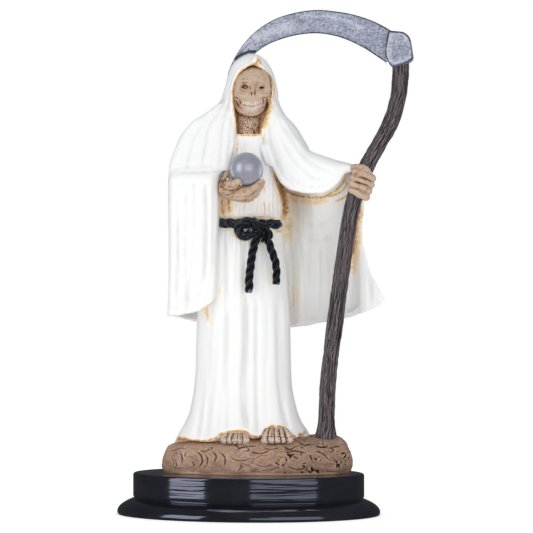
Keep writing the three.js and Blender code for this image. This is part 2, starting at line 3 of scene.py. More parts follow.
import bmesh
import bpy
import numpy as np
from bpy.props import FloatProperty, FloatVectorProperty, PointerProperty
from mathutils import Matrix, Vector


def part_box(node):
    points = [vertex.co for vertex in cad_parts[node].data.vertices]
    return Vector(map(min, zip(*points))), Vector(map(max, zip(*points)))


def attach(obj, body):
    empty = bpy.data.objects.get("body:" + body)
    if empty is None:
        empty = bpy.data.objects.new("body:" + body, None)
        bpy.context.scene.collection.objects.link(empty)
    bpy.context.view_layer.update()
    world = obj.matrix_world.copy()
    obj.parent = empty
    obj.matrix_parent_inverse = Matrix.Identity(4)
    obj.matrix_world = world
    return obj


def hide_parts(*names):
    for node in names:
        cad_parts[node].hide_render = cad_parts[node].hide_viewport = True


bl_info = {
    "name": "Santa muerte figure",
    "version": (1, 0, 0),
    "blender": (4, 5, 0),
    "location": "View3D > Sidebar > Statuette",
    "description": "Hooded skeleton saint with ball and scythe on a lacquered plinth",
    "category": "Add Mesh",
}

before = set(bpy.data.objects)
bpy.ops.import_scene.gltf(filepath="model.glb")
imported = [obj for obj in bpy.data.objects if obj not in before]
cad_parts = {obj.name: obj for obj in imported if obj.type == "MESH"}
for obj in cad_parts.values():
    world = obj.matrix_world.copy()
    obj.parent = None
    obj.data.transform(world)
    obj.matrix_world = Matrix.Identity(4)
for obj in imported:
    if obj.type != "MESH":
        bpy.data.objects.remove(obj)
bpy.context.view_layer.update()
FIGURE_LOW, FIGURE_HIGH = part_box("figure")
PLINTH_LOW, PLINTH_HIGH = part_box("plinth")
BALL_LOW, BALL_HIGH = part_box("ball")
# How far the plinth's flange stands out, in metres.
OVERHANG = 0.0072

# The free form is carved in millimetres above the figure's foot, for this height, and scaled as a whole.
CARVED_HEIGHT = 189.2
# The foot of the scythe's pole is thicker than the rest by this factor.
SNATH_FOOT = 9.4 / 7.2
TURN = 2 * math.pi

# The carving is laid out as it shows from the front: azimuth in degrees, distance and middle in carving mm, and the
# picture's width in pixels of so many mm.
FRONT_AZIMUTH = 6.0
FRONT_DISTANCE = 1144.0
FRONT_ACROSS = 8.19
FRONT_HEIGHT = 93.0
PICTURE_WIDTH = 533
PIXEL = 0.4526


# Numbers and curves


def linear(hex_colour):
    """sRGB hex to linear red, green, blue."""
    shares = [int(hex_colour[k : k + 2], 16) / 255 for k in (0, 2, 4)]
    return [s / 12.92 if s <= 0.04045 else ((s + 0.055) / 1.055) ** 2.4 for s in shares]


def mix(start, end, share):
    return start + (end - start) * share


def step(value, low, high):
    """Smooth rise from 0 at low to 1 at high."""
    share = np.clip((value - low) / (high - low), 0, 1)
    return share * share * (3 - 2 * share)


def bump(value, place, width):
    """Soft bump of height 1 around a place."""
    return np.exp(-(((value - place) / width) ** 2))


def joined(*columns):
    """Rows out of columns."""
    return np.stack(columns, axis=1)


def cubic(start, end, rise, t):
    """Smooth stretch that rises as told, with its slopes at both ends."""
    return start * t + (3 * rise - 2 * start - end) * t**2 + (start + end - 2 * rise) * t**3


def run_along(points):
    """Length run at each point of a route."""
    return np.concatenate([[0], np.cumsum(np.linalg.norm(np.diff(points, axis=0), axis=1))])


def read(rows, place, column=1):
    """Smooth curve through rows of [place, value, value, ...], read in one column."""
    rows = np.asarray(rows, float)
    at = np.clip(np.asarray(place, float), rows[0, 0], rows[-1, 0])
    last = len(rows) - 2
    k = np.clip(np.searchsorted(rows[:, 0], at, side="left") - 1, 0, last)
    widths = np.diff(rows[:, 0])
    slopes = np.diff(rows[:, column]) / widths

    def level(a, b):
        product = a * b
        return np.where(product > 0, 2 * product / np.where(product > 0, a + b, 1), 0)

    here = slopes[k]
    start = level(slopes[np.maximum(k - 1, 0)], here) * widths[k]
    end = level(here, slopes[np.minimum(k + 1, last)]) * widths[k]
    t = (at - rows[k, 0]) / widths[k]
    return rows[k, column] + cubic(start, end, rows[k + 1, column] - rows[k, column], t)


def sides(rows, place):
    """Every measure of a table of rows at a place."""
    return [read(rows, place, k) for k in range(1, len(rows[0]))]


def cloudy(points, size, seed=0):
    """Smooth noise from -1 to 1 whose lumps are about `size` wide."""
    cell = np.asarray(points) / size
    low = np.floor(cell)
    share = cell - low
    share = share * share * (3 - 2 * share)
    total = 0.0
    for corner in np.ndindex(2, 2, 2):
        key = (low + corner) @ [127.1, 311.7, 74.7] + seed * 17.3
        value = np.sin(key) * 43758.5453
        weight = np.prod(np.where(corner, share, 1 - share), axis=1)
        total = total + (value - np.floor(value)) * weight
    return total * 2 - 1


def smooth_route(route, count):
    """Evenly spaced points on a smooth curve through a route of points."""
    route = np.array(route, float)
    padded = np.vstack([2 * route[0] - route[1], route, 2 * route[-1] - route[-2]])
    t = np.linspace(0, 1, 24, endpoint=False)[:, None]
    dense = []
    for p0, p1, p2, p3 in zip(padded, padded[1:], padded[2:], padded[3:]):
        d0, d1, d2 = (math.sqrt(np.linalg.norm(b - a)) + 1e-9 for a, b in ((p0, p1), (p1, p2), (p2, p3)))
        start = ((p1 - p0) / d0 - (p2 - p0) / (d0 + d1) + (p2 - p1) / d1) * d1
        end = ((p2 - p1) / d1 - (p3 - p1) / (d1 + d2) + (p3 - p2) / d2) * d1
        dense.append(p1 + cubic(start, end, p2 - p1, t))
    dense = np.vstack(dense + [route[-1:]])
    run = run_along(dense)
    even = np.linspace(0, run[-1], count)
    return joined(*(np.interp(even, run, axis) for axis in dense.T))


def headings(centre):
    """Direction of a route at each of its points."""
    tangent = np.gradient(centre, axis=0)
    return tangent / np.linalg.norm(tangent, axis=1)[:, None]


def framed(route, along):
    """Centres of a route with two directions across it that don't twist, and its length."""
    centre = smooth_route(route, along + 1)
    tangent = headings(centre)
    side = np.cross(tangent[0], [0.13, 0.9, 0.41])
    across = []
    for direction in tangent:
        side = side - direction * (side @ direction)
        side = side / np.linalg.norm(side)
        across.append(side)
    across = np.array(across)
    return centre, across, np.cross(tangent, across), float(run_along(centre)[-1])


# Shells and skins


def tube(around, up, wall):
    """Closed body: `wall(angle, share)` places the rings of a grid, then its seam and ends are closed."""
    shell = bmesh.new()
    bmesh.ops.create_grid(shell, x_segments=around, y_segments=up, size=0.5)
    blank = np.array([vert.co[:] for vert in shell.verts]) + 0.5
    for vert, point in zip(shell.verts, wall(TURN * blank[:, 0], blank[:, 1])):
        vert.co = point
    bmesh.ops.remove_doubles(shell, verts=shell.verts, dist=1e-4)
    rims = [edge for edge in shell.edges if edge.is_boundary]
    if rims:
        caps = bmesh.ops.holes_fill(shell, edges=rims, sides=0)["faces"]
        bmesh.ops.poke(shell, faces=caps)
    bmesh.ops.recalc_face_normals(shell, faces=shell.faces)
    return shell


def strand(route, around, along, reach):
    """Body along a smooth route: `reach(share, angle, length)` gives its radius."""
    centre, side, over, length = framed(route, along)

    def wall(angle, share):
        ring = np.rint(share * along).astype(int)
        out = np.cos(angle)[:, None] * side[ring] + np.sin(angle)[:, None] * over[ring]
        return centre[ring] + out * reach(share, angle, length)[:, None]

    return tube(around, along, wall)


def rounded(radius, share, length, tip=1.0):
    """Radius of a finger, toe or rope: full along its length and domed at both ends."""
    inset = np.clip(1 - np.minimum(share, 1 - share) * length / (radius * tip), 0, 1)
    return radius * np.sqrt(np.maximum(1 - inset**2, 0.0004))


def evenly(radius):
    """Reach of a strand that is as thick all along."""
    return lambda share, angle, length: rounded(radius, share, length)


def lump(centre, size, detail=24):
    """Squashed ball about a centre."""
    shell = bmesh.new()
    bmesh.ops.create_uvsphere(shell, u_segments=detail * 2, v_segments=detail, radius=1)
    bmesh.ops.scale(shell, vec=Vector(size), verts=shell.verts)
    bmesh.ops.translate(shell, vec=Vector(centre), verts=shell.verts)
    return shell


def oval(angle, left, right, front, back, corner=1.0):
    """Point of an upright oval section between its four sides; a low corner makes it squarer."""
    across = np.sign(np.cos(angle)) * np.abs(np.cos(angle)) ** corner
    deep = np.sign(np.sin(angle)) * np.abs(np.sin(angle)) ** corner
    x = (left + right) / 2 + (right - left) / 2 * across
    y = (front + back) / 2 + (back - front) / 2 * deep
    return x, y


def gathered(shells):
    """One mesh that holds several shells."""
    whole = bmesh.new()
    for shell in shells:
        passed = bpy.data.meshes.new("passed")
        shell.to_mesh(passed)
        shell.free()
        whole.from_mesh(passed)
        bpy.data.meshes.remove(passed)
    mesh = bpy.data.meshes.new("gathered")
    whole.to_mesh(mesh)
    whole.free()
    return mesh


def fresh(name, data):
    """New object of this name in the scene, in place of an older one."""
    old = bpy.data.objects.get(name)
    if old:
        bpy.data.objects.remove(old)
    made = bpy.data.objects.new(name, data)
    bpy.context.scene.collection.objects.link(made)
    return made


def treated(mesh, kind, **settings):
    """The mesh after one modifier."""
    body = fresh("treated", mesh)
    modifier = body.modifiers.new("step", kind)
    for name, value in settings.items():
        setattr(modifier, name, value)
    done = bpy.data.meshes.new_from_object(body.evaluated_get(bpy.context.evaluated_depsgraph_get()))
    bpy.data.objects.remove(body)
    bpy.data.meshes.remove(mesh)
    return done


def fused(shells, voxel, relax=2, cutters=(), edging=()):
    """One skin over overlapping closed shells, with the cutters taken out and an edging laid on."""
    mesh = treated(gathered(shells), "REMESH", mode="VOXEL", voxel_size=voxel)
    for shell in cutters:
        tool = fresh("cutter", gathered([shell]))
        mesh = treated(mesh, "BOOLEAN", operation="DIFFERENCE", solver="MANIFOLD", object=tool)
        bpy.data.objects.remove(tool)
    if edging:
        rest = bmesh.new()
        rest.from_mesh(mesh)
        mesh = gathered([rest, *edging])
    if cutters or edging:
        mesh = treated(mesh, "REMESH", mode="VOXEL", voxel_size=voxel)
    return treated(mesh, "SMOOTH", factor=0.5, iterations=relax) if relax else mesh


def gauged(mesh):
    """Points and outward directions of a mesh as arrays."""
    points = np.empty(len(mesh.vertices) * 3, np.float32)
    mesh.vertices.foreach_get("co", points)
    normals = np.empty(len(mesh.vertices) * 3, np.float32)
    mesh.vertex_normals.foreach_get("vector", normals)
    return points.reshape(-1, 3).astype(float), normals.reshape(-1, 3).astype(float)


def moved(mesh, points):
    mesh.vertices.foreach_set("co", np.asarray(points, np.float32).ravel())
    mesh.update()


def raised(mesh, points, normals, push):
    """Moves each point outwards by its own push, and gauges the mesh again."""
    moved(mesh, points + normals * push[:, None])
    return gauged(mesh)


def neighbours(mesh, values):
    """Mean of each vertex's neighbours, for rows of values."""
    edges = np.empty(len(mesh.edges) * 2, np.int32)
    mesh.edges.foreach_get("vertices", edges)
    first, second = edges.reshape(-1, 2).T
    count = len(mesh.vertices)
    degree = np.bincount(first, minlength=count) + np.bincount(second, minlength=count)
    sums = [np.bincount(first, row[second], count) + np.bincount(second, row[first], count) for row in values.T]
    return joined(*sums) / np.maximum(degree, 1)[:, None]


def hollowness(mesh, rounds=10, reach=0.35):
    """From -1 on ridges to 1 in creases."""
    points, normals = gauged(mesh)
    eased = points
    for _ in range(rounds):
        eased = neighbours(mesh, eased)
    return np.clip(np.einsum("ij,ij->i", eased - points, normals) / reach, -1, 1)


def seen(points):
    """Where points show from the front: across and height, in carving millimetres."""
    turn = math.radians(FRONT_AZIMUTH)
    across = points[:, 0] * math.cos(turn) + points[:, 1] * math.sin(turn)
    depth = points[:, 1] * math.cos(turn) - points[:, 0] * math.sin(turn)
    shrink = FRONT_DISTANCE / (FRONT_DISTANCE + depth)
    x = FRONT_ACROSS + (across - FRONT_ACROSS) * shrink
    return joined(x, FRONT_HEIGHT + (points[:, 2] - FRONT_HEIGHT) * shrink)


def placed(across, height, y):
    """The point at a depth that shows at a place from the front."""
    turn = math.radians(FRONT_AZIMUTH)
    c, s = math.cos(turn), math.sin(turn)
    off = across - FRONT_ACROSS
    x = (off * (FRONT_DISTANCE + y * c) - (y * s - FRONT_ACROSS) * FRONT_DISTANCE) / (c * FRONT_DISTANCE + s * off)
    grow = (FRONT_DISTANCE + y * c - x * s) / FRONT_DISTANCE
    return [x, y, FRONT_HEIGHT + (height - FRONT_HEIGHT) * grow]


def marked(flat, strokes, fade=5.0):
    """How strongly drawn strokes mark points seen from the front."""
    total = np.zeros(len(flat))
    for width, strength, *route in strokes:
        drawn = smooth_route(np.reshape(route, (-1, 2)), 2 * len(route))
        length = float(run_along(drawn)[-1])
        low, high = drawn.min(axis=0) - 3 * width, drawn.max(axis=0) + 3 * width
        near = np.flatnonzero(((flat > low) & (flat < high)).all(axis=1))
        spots = flat[near]
        for k, (a, b) in enumerate(zip(drawn, drawn[1:])):
            share = np.clip((spots - a) @ (b - a) / ((b - a) @ (b - a) + 1e-12), 0, 1)
            gap = np.linalg.norm(spots - a - share[:, None] * (b - a), axis=1)
            place = (k + share) / (len(drawn) - 1)
            ends = np.minimum(place, 1 - place) * length / min(fade, length / 3)
            value = strength * step(ends, -0.3, 1) * np.exp(-((gap / width) ** 2))
            total[near] = np.maximum(total[near], value)
    return total


# The carving's own measures, in carving millimetres
#
# Rows of a body give a height and how far left, right, front and back it reaches there. The other rows give a place
# across or up and what is read there, and a route gives the points that it runs through.

MOUND_PLAN = [-40.6, 46.2, -16, 28]
GOWN_ROWS = [
    [12, -35, 29.2, -11.4, 27], [14.5, -34, 28.2, -11.8, 27], [18.5, -31.7, 26, -12.2, 26.4],
    [23, -29.2, 23.2, -12.4, 26], [28, -27.2, 21.3, -12.5, 25.4], [41, -25, 18.9, -12.5, 24.5],
    [64, -24.1, 18.4, -12.5, 23.5], [91, -22.7, 16.6, -12, 22], [105, -20.9, 15.2, -11.4, 21],
    [112.5, -18.8, 14.6, -10.6, 20.4], [123, -18.6, 15.3, -10.8, 20.2], [132, -17.2, 13.2, -10.4, 20],
    [141.5, -14.5, 11.4, -9.6, 19], [149, -10.5, 10, -8.8, 17], [152.6, -7.4, 8, -8.3, 14],
]
CAPE_HEM = [
    [0, 70.5], [0.06, 68.8], [0.12, 67.2], [0.24, 65.4], [0.4, 64.2], [0.55, 65], [0.7, 67.6], [0.82, 70],
    [0.93, 73.8], [1, 77],
]
CAPE_TOP = [
    [-34.6, 134], [-33, 142], [-30.5, 149], [-27, 154], [-21, 159], [-14, 164], [-8, 168], [0, 170], [8, 168],
    [14, 163], [18, 158], [22, 152.5], [26, 146], [30, 142.6], [37, 140.4], [46, 138], [50.5, 136],
]
CAPE_LEFT = [
    [60, -37], [78, -36.3], [92, -35.4], [110, -35.1], [137, -34.6],
]
CAPE_RIGHT = [
    [60, 66], [77, 62.3], [85.5, 58.1], [92, 54.9], [98, 53.1], [105, 51.7], [110.5, 51.5], [116.5, 52.2],
    [123, 52.4], [130, 51.8], [137, 50.5],
]
CAPE_PLAN = [
    [-37, 5], [-30, 12], [-20, 18], [-8, 22], [5, 23], [16, 21], [26, 16.5], [38, 11.5], [50, 6], [62, 0],
]
CAPE_NAPE = [
    [-34, 5], [-26, 10], [-12, 13.6], [0, 14.4], [10, 13.4], [20, 9], [30, 6],
]
WING_FOLDS = [
    [30, 27, 1.2, 3], [41, 36, 1.4, 3.2], [52, 45, 1.2, 3],
]
SLEEVE_ROWS = [
    [70, -36.4, -25, -14.5, 4], [76, -35.9, -13.2, -15.5, 5], [84, -35.4, -12.2, -16.5, 6], [96, -35, -12, -17.5, 7],
    [110, -34.8, -11.6, -18.4, 8], [123, -34.8, -11.5, -19, 9], [132, -34.8, -11, -19.2, 10],
    [136.6, -34.4, -9.4, -16.2, 10],
]
SLEEVE_HEM = [
    [-36, 70.4], [-30, 70.8], [-26, 71.6], [-21, 72.8], [-17.5, 74.5], [-14.3, 77], [-12.5, 80.3], [-11.6, 84.8],
]
LEFT_SHOULDER = [
    [135, -34.8, -6.4, -15, 13], [137, -34.6, -6, -15.4, 13], [141.5, -33.7, -5.6, -14.6, 14],
    [146, -32.1, -5.2, -13.6, 15], [150.6, -30.5, -4.9, -12.4, 15], [155, -27.8, -4.8, -11.2, 15],
    [158, -25.2, -5.2, -10.4, 15], [161, -20.6, -5.6, -9.2, 14], [163.5, -17, -5.9, -8, 12.5],
    [167, -13.4, -6.1, -5, 10],
]
RIGHT_SHOULDER = [
    [136, 12.4, 29, -9.4, 12], [142, 10.4, 28.2, -9.6, 12], [146, 9, 27.3, -9.6, 13], [150.6, 7.4, 24.8, -9.6, 14],
    [155, 7.4, 22, -9.4, 14], [158, 8.4, 19.7, -9.2, 14], [161, 9.4, 17.1, -8, 13], [163.5, 10, 15.3, -6.4, 11.5],
    [167, 11, 13.4, -3, 8],
]
ARM_TOP = [
    [6, 168], [13.5, 166], [15.7, 161.5], [18.9, 157.4], [23.5, 151.5], [27.5, 145.6], [32.5, 143.6], [37, 142],
    [41.6, 140.6], [46.1, 139.4], [51, 137.6],
]
ARM_LIP = [
    [6, 150], [9, 143.5], [12, 137], [16.5, 129.4], [20, 127.2], [24.2, 126], [28.2, 125.4], [33.2, 125.5],
    [37.7, 127], [42.2, 130.4], [45.8, 135], [51, 134.6],
]
ARM_FRONT = [
    [6, -7], [12, -10], [18, -11.5], [28, -12.5], [38, -12], [46, -10], [51, -8.5],
]
HOOD_ROWS = [
    [146, -13, 13.5, -7.8, 17], [158, -15, 14.6, -9, 18.2], [165, -14.8, 14.2, -9.6, 18.2],
    [168.7, -12.7, 13.3, -10, 17.8], [173, -11.3, 12.9, -10.2, 17.2], [177.7, -10, 11.9, -10, 16],
    [182.3, -8.5, 10.4, -8.8, 14.4], [185.4, -6.6, 8.6, -7, 12.6], [187.7, -3.6, 6.2, -4, 9.6],
    [189.2, -0.4, 3.6, -0.6, 5.6],
]
OPENING_ROWS = [
    [137, -7, 6], [143, -6.2, 5.8], [150.5, -4.4, 6], [152.5, -4.7, 6.2], [158.9, -5.2, 8.2], [165.6, -6.1, 10.2],
    [170.1, -6.4, 10.9], [174.6, -5.7, 10.8], [179.1, -4, 9.6], [181.8, -1.9, 7.2], [183.5, 1.6, 4.4],
]
SKULL_ROWS = [
    [160, -0.6, 5.4, -9.2], [161.2, -2.9, 6.6, -10.4], [163.7, -5.8, 8.4, -11.2], [166.4, -6.9, 9.8, -11.6],
    [169.6, -7.3, 11.1, -11.4], [172.7, -7, 11.5, -11.2], [177.2, -6.2, 11.3, -11], [179.5, -4.8, 10.3, -10],
    [181.7, -2.6, 8, -8], [183.2, 1.4, 3.6, -5],
]
SNATH_ROUTE = [
    [35, 2, 13.4], [35.5, 1.2, 27], [36.4, -1, 43], [38.6, -3, 60], [41.5, -4.5, 82], [44.1, -5.5, 100],
    [46.2, -6, 113], [49.6, -6.2, 127], [54, -5.4, 138], [59.2, -3.6, 147.6], [64.4, -1, 157.5], [67.4, 1, 168],
    [68.6, 2, 178], [68.9, 2, 186],
]
BLADE_ROUTE = [
    [66, 2.4, 190.5, 1], [55, 3.6, 197.4, 0.95], [45.6, 5, 201.4, 0.87], [38, 6.2, 203.3, 0.81],
    [30.6, 7.4, 204.2, 0.79], [22.4, 8.2, 203.6, 0.76], [13.7, 9, 201.5, 0.72], [6.2, 9.6, 198, 0.62],
    [0.6, 10, 193.7, 0.53], [-4.6, 10.2, 187.5, 0.43], [-8.2, 9.8, 181, 0.32], [-9.6, 9.2, 175.5, 0.14],
]
BALL_CENTRE = [1.3, -19.6, 136.2]
HAND_ROUTES = [
    [[-1.4, 0.8, -1.2], [-0.95, 0.2, -1.36], [-0.3, -0.25, -1.45], [0.4, -0.34, -1.18], [0.98, -0.2, -0.6]],
    [[-1.4, 1.1, -1.25], [-0.95, 0.68, -1.4], [-0.17, 0.35, -1.52], [0.6, 0.28, -1.22], [1.04, 0.4, -0.62]],
    [[-1.5, 0.5, -0.98], [-1.15, -0.15, -0.98], [-0.71, -0.66, -0.9], [-0.22, -0.9, -0.66]],
    [[-1.32, 0.43, -1.31], [-1.45, 0.64, -0.69], [-1.16, 0.56, -0.11]],
]
WAIST_ROUTE = [
    [-13, -3, 112.8], [-11.6, -9.4, 112.6], [-4, -12.4, 112.3], [3.5, -12.8, 112.1], [10, -12, 112],
    [12.8, -10.9, 111.9], [15.6, -8.8, 111.8],
]
LOOP_ROUTE = [
    [6, -14.4, 112.4], [1, -15, 113], [-2.6, -14.8, 110.6], [-1.8, -15, 107.2], [1.6, -15.2, 107], [4.6, -15, 109.4],
]
LEFT_TAIL_ROUTE = [
    [6.6, -15, 109], [5, -14.8, 105], [4, -14.6, 101.5], [3.1, -14.6, 97], [2.6, -14.6, 93], [2, -14.6, 88],
    [2, -14.6, 81.5],
]
RIGHT_TAIL_ROUTE = [
    [8, -14.6, 108.5], [10.4, -14.2, 104.5], [12.2, -14, 99.5], [13.7, -13.8, 95], [14.2, -13.6, 90],
    [13.8, -13.4, 84.8],
]
GOWN_FRONT = [
    [-23, -15, 0.5, 1.6], [-17.6, -14.5, 0.7, 1.5], [-8.4, -10.4, 0.8, 1.5], [0, -1, 1.2, 1.6], [5.4, 3.6, 0.5, 1.2],
    [17.6, 11.6, 1.1, 1.6],
]
# Top of the mound across the front, and the fingers of the fist as they show from the front: rows of across,
# height and depth from the knuckle to the tip.
MOUND_TOP = [
    [-38, 13.8], [-34, 14.3], [-26, 14.3], [-16, 14.3], [-8, 14.6], [0, 15.8], [6, 16], [12, 15.2], [20, 15.6],
    [26, 16.4], [31, 16.8], [36, 16.8], [40, 17.6], [43, 17], [45, 14.4],
]
FIST_ROUTES = [
    [[55.4, 132.9, -4.5], [56, 132.9, -8.4], [51.9, 134.7, -11.3], [48.6, 135.9, -11], [47.6, 136, -9.4]],
    [[54.9, 130, -4.5], [55.4, 129.9, -8.4], [51.4, 131.7, -11.5], [48, 133.2, -11.2], [47, 133.3, -9.4]],
    [[53.8, 127.1, -4.5], [54.3, 127.1, -8.4], [50.5, 128.9, -11.5], [47.4, 130.4, -11.2], [46.5, 130.5, -9.4]],
    [[52.7, 124.5, -4.5], [53.2, 124.4, -8.2], [49.6, 126.1, -11.3], [47, 127.7, -11], [46.3, 127.9, -9.4]],
]
THUMB_ROUTE = [[45.5, 136.8, -6], [48.5, 137.6, -9.6], [51.9, 137.4, -10.6], [54, 135.6, -9.6], [54.9, 134.2, -7.4]]
GOWN_HEM = [
    [-33.7, 15.4], [-27.3, 14.5], [-19.6, 14], [-15.1, 15.4], [-12.4, 17.2], [-7.4, 18.3], [-2.4, 18.6], [-0.2, 17.7],
    [2.1, 16.1], [4.3, 15.9], [6.2, 16.5], [8, 19], [10.2, 20.6], [14.3, 20.6], [17, 19.5], [18.4, 18.1],
    [21.1, 15.9], [23.4, 15.6], [25.2, 17.4], [27.4, 18.6], [28.8, 18.1],
]
SLEEVE_FOLDS = [[-31, -30, 0.8, 1.1], [-26.5, -26, 1.1, 1.4], [-22, -21, 0.8, 1.1], [-17.5, -16.5, 0.9, 1.2]]
HAND_SIZES = [[3.1, 1.05], [3, 1.1], [2.3, 1.5], [1.6, 1.2]]
# Feet: heel across, first and last toe across, height of the instep, and how far the outer toes hold back.
FEET = [(-4, -9.8, 0.8, 4, (0, 0.6)), (12, 9, 20.6, 6, (0.8, -1.4))]
FERRULE_SHAPE = [
    [63.5, 199.1], [70.4, 198.4], [73.1, 196.2], [74.7, 186.4], [72.2, 184.2], [64.6, 182.7], [61.8, 187.8],
    [62.8, 196.5],
]
KNOT_ROUTES = [
    [[4, -13.4, 112.4], [5.4, -16.4, 112], [8.6, -17, 110.4], [11, -15.4, 107.4], [10.6, -13, 106]],
    [[3.6, -13.6, 107.6], [5.2, -16.2, 108], [8.2, -16.6, 109.6], [11, -15.4, 112], [11.6, -12.6, 113]],
    [[4.2, -13.4, 110.2], [5.6, -16, 110.8], [8, -16.8, 108.4], [8.6, -15.6, 105.8], [8.4, -13.4, 104.6]],
]
# Rope: route, share of the belt's thickness, pitch of one strand's turn and where it starts.
ROPES = [
    (WAIST_ROUTE, 1, 14, 0), (LOOP_ROUTE, 0.98, 14, 1),
    (LEFT_TAIL_ROUTE, 0.84, 12.5, 2), (RIGHT_TAIL_ROUTE, 0.8, 12.5, 0.5),
    (KNOT_ROUTES[0], 0.76, 13, 0), (KNOT_ROUTES[1], 0.72, 13, 1), (KNOT_ROUTES[2], 0.7, 13, 2),
]
GLUE = [((-6.6, -24.2, 131.8), (0.5, 0.4, 0.5)), ((-0.2, -26.7, 129.3), (0.45, 0.35, 0.4))]
# Forms and shades of the face as they show from the front: strength, across, height, width and tallness.
FACE_FORMS = [
    (-1.5, -2, 174.2, 2.6, 1.7), (-1.5, 6, 173.9, 2.4, 1.6), (0.6, -2.2, 177, 3, 0.8), (0.6, 6.2, 176.7, 2.8, 0.8),
    (0.35, 2, 162, 2.6, 1.4), (-0.15, 2.1, 176.4, 1.2, 0.6), (-0.6, -1.8, 174.4, 1.5, 0.85),
    (0.7, -1.7, 174.35, 0.62, 0.36), (-0.7, 5.8, 174.1, 1.15, 0.5), (0.9, 2.2, 173.2, 0.9, 2.2),
    (-0.9, 1.5, 171.3, 0.36, 0.95), (-0.9, 2.9, 171.5, 0.36, 0.95), (1.1, -3.9, 170.6, 2.2, 0.9),
    (1.1, 8.4, 170.4, 2.2, 0.9), (-1.5, -4.9, 166.3, 1.7, 2.8), (-1.5, 8.2, 165.9, 1.8, 3), (0.7, 1.7, 166.4, 4, 3.2),
]
# Umber on the face, with painted shade in the sockets, cheek hollows and under the jaw, and a painted highlight in the
# left eye.
FACE_UMBER_AND_SHADE = [
    (1.7, -1.8, 174.4, 1.1, 0.6), (-2, -1.6, 174.35, 0.45, 0.27), (1.4, 5.8, 174.1, 0.75, 0.36),
    (0.22, -1.8, 174.8, 2.6, 1.6), (0.25, 5.8, 174.5, 2.4, 1.5), (0.3, -4.9, 165.6, 1.6, 3),
    (0.35, 7.8, 165.4, 1.9, 3.4), (0.25, 1, 160.4, 5, 1.2), (0.2, 2.2, 172, 1.6, 1.8), (0.4, 1.5, 171.2, 0.35, 0.7),
    (0.4, 2.9, 171.4, 0.35, 0.7), (0.25, -4.6, 166.2, 0.7, 2), (0.3, 8.4, 165.8, 0.8, 2.3),
]
# Strokes drawn as they show from the front: width, depth or strength, then across and height of each point in turn.
FACE_CREASES = [
    (0.3, 0.6, -5.7, 168.8, -5.4, 167.2, -5, 165.6), (0.35, 0.6, -4.3, 169, -3.9, 167.8, -3.4, 166.4),
    (0.35, 0.4, 6.3, 169.6, 6.7, 168, 6.7, 166.4), (0.35, 0.6, 8.4, 170, 8.3, 167, 7.8, 164.6, 6.6, 162.4),
    (0.35, 0.5, -6.5, 169.6, -5.2, 169.3, -4.2, 168.6), (0.35, 0.4, 5.6, 169, 6.6, 169.4, 8.2, 169.6, 9.8, 170.4),
    (0.4, 0.12, -4, 173, -1.9, 172.2, 0.3, 172.9), (0.4, 0.12, 3.9, 172.8, 5.8, 172.2, 7.7, 172.9),
    (0.25, 0.12, -4.4, 171.9, -2.2, 171.1, -0.4, 171.6), (0.25, 0.12, 4.6, 171.6, 6.4, 171.2, 8.2, 171.9),
    (0.5, 0.1, -4, 175.4, -2, 176.6, 0.2, 176.2), (0.5, 0.1, 3.7, 176.2, 5.5, 176.5, 7.4, 175.5),
    (0.4, 0.6, 9, 180.6, 10, 177, 10.3, 172, 10.1, 168, 9.4, 164.6),
    (0.4, 0.3, -6.6, 178, -6.9, 173, -6.4, 168.6, -5.6, 164),
    (0.35, 0.8, -6.4, 164.8, -4.9, 162.4, -3, 161.6, 0.4, 160.6, 4.4, 161.2, 6.6, 163),
    (0.5, 0.16, 0.4, 175.2, 0.9, 173.2, 0.4, 171.4), (0.5, 0.14, 3.8, 175, 3.4, 173.2, 4, 171.4),
]
HAND_CREASES = [
    (0.3, 0.22, -10.6, 127.6, -8.3, 127.2, -5.6, 127.6, -2.4, 129.4),
    (0.28, 0.18, -7.4, 124.9, -2.9, 124.4, 1.6, 125.8, 4.8, 128.5), (0.22, 0.12, -10.8, 130, -9.6, 131.6),
]
FIST_CREASES = [
    (0.3, 0.3, 46.4, 134.4, 49.9, 133.5, 53.7, 132.5, 55.4, 131.5), (0.3, 0.3, 46.3, 131.9, 53.1, 129.9, 56, 128.6),
    (0.3, 0.3, 45.6, 128.8, 51.1, 127.7, 53.4, 126.7, 54.7, 125.7),
    (0.22, 0.2, 47.6, 137.6, 50.2, 136.2, 52.6, 135.8),
]

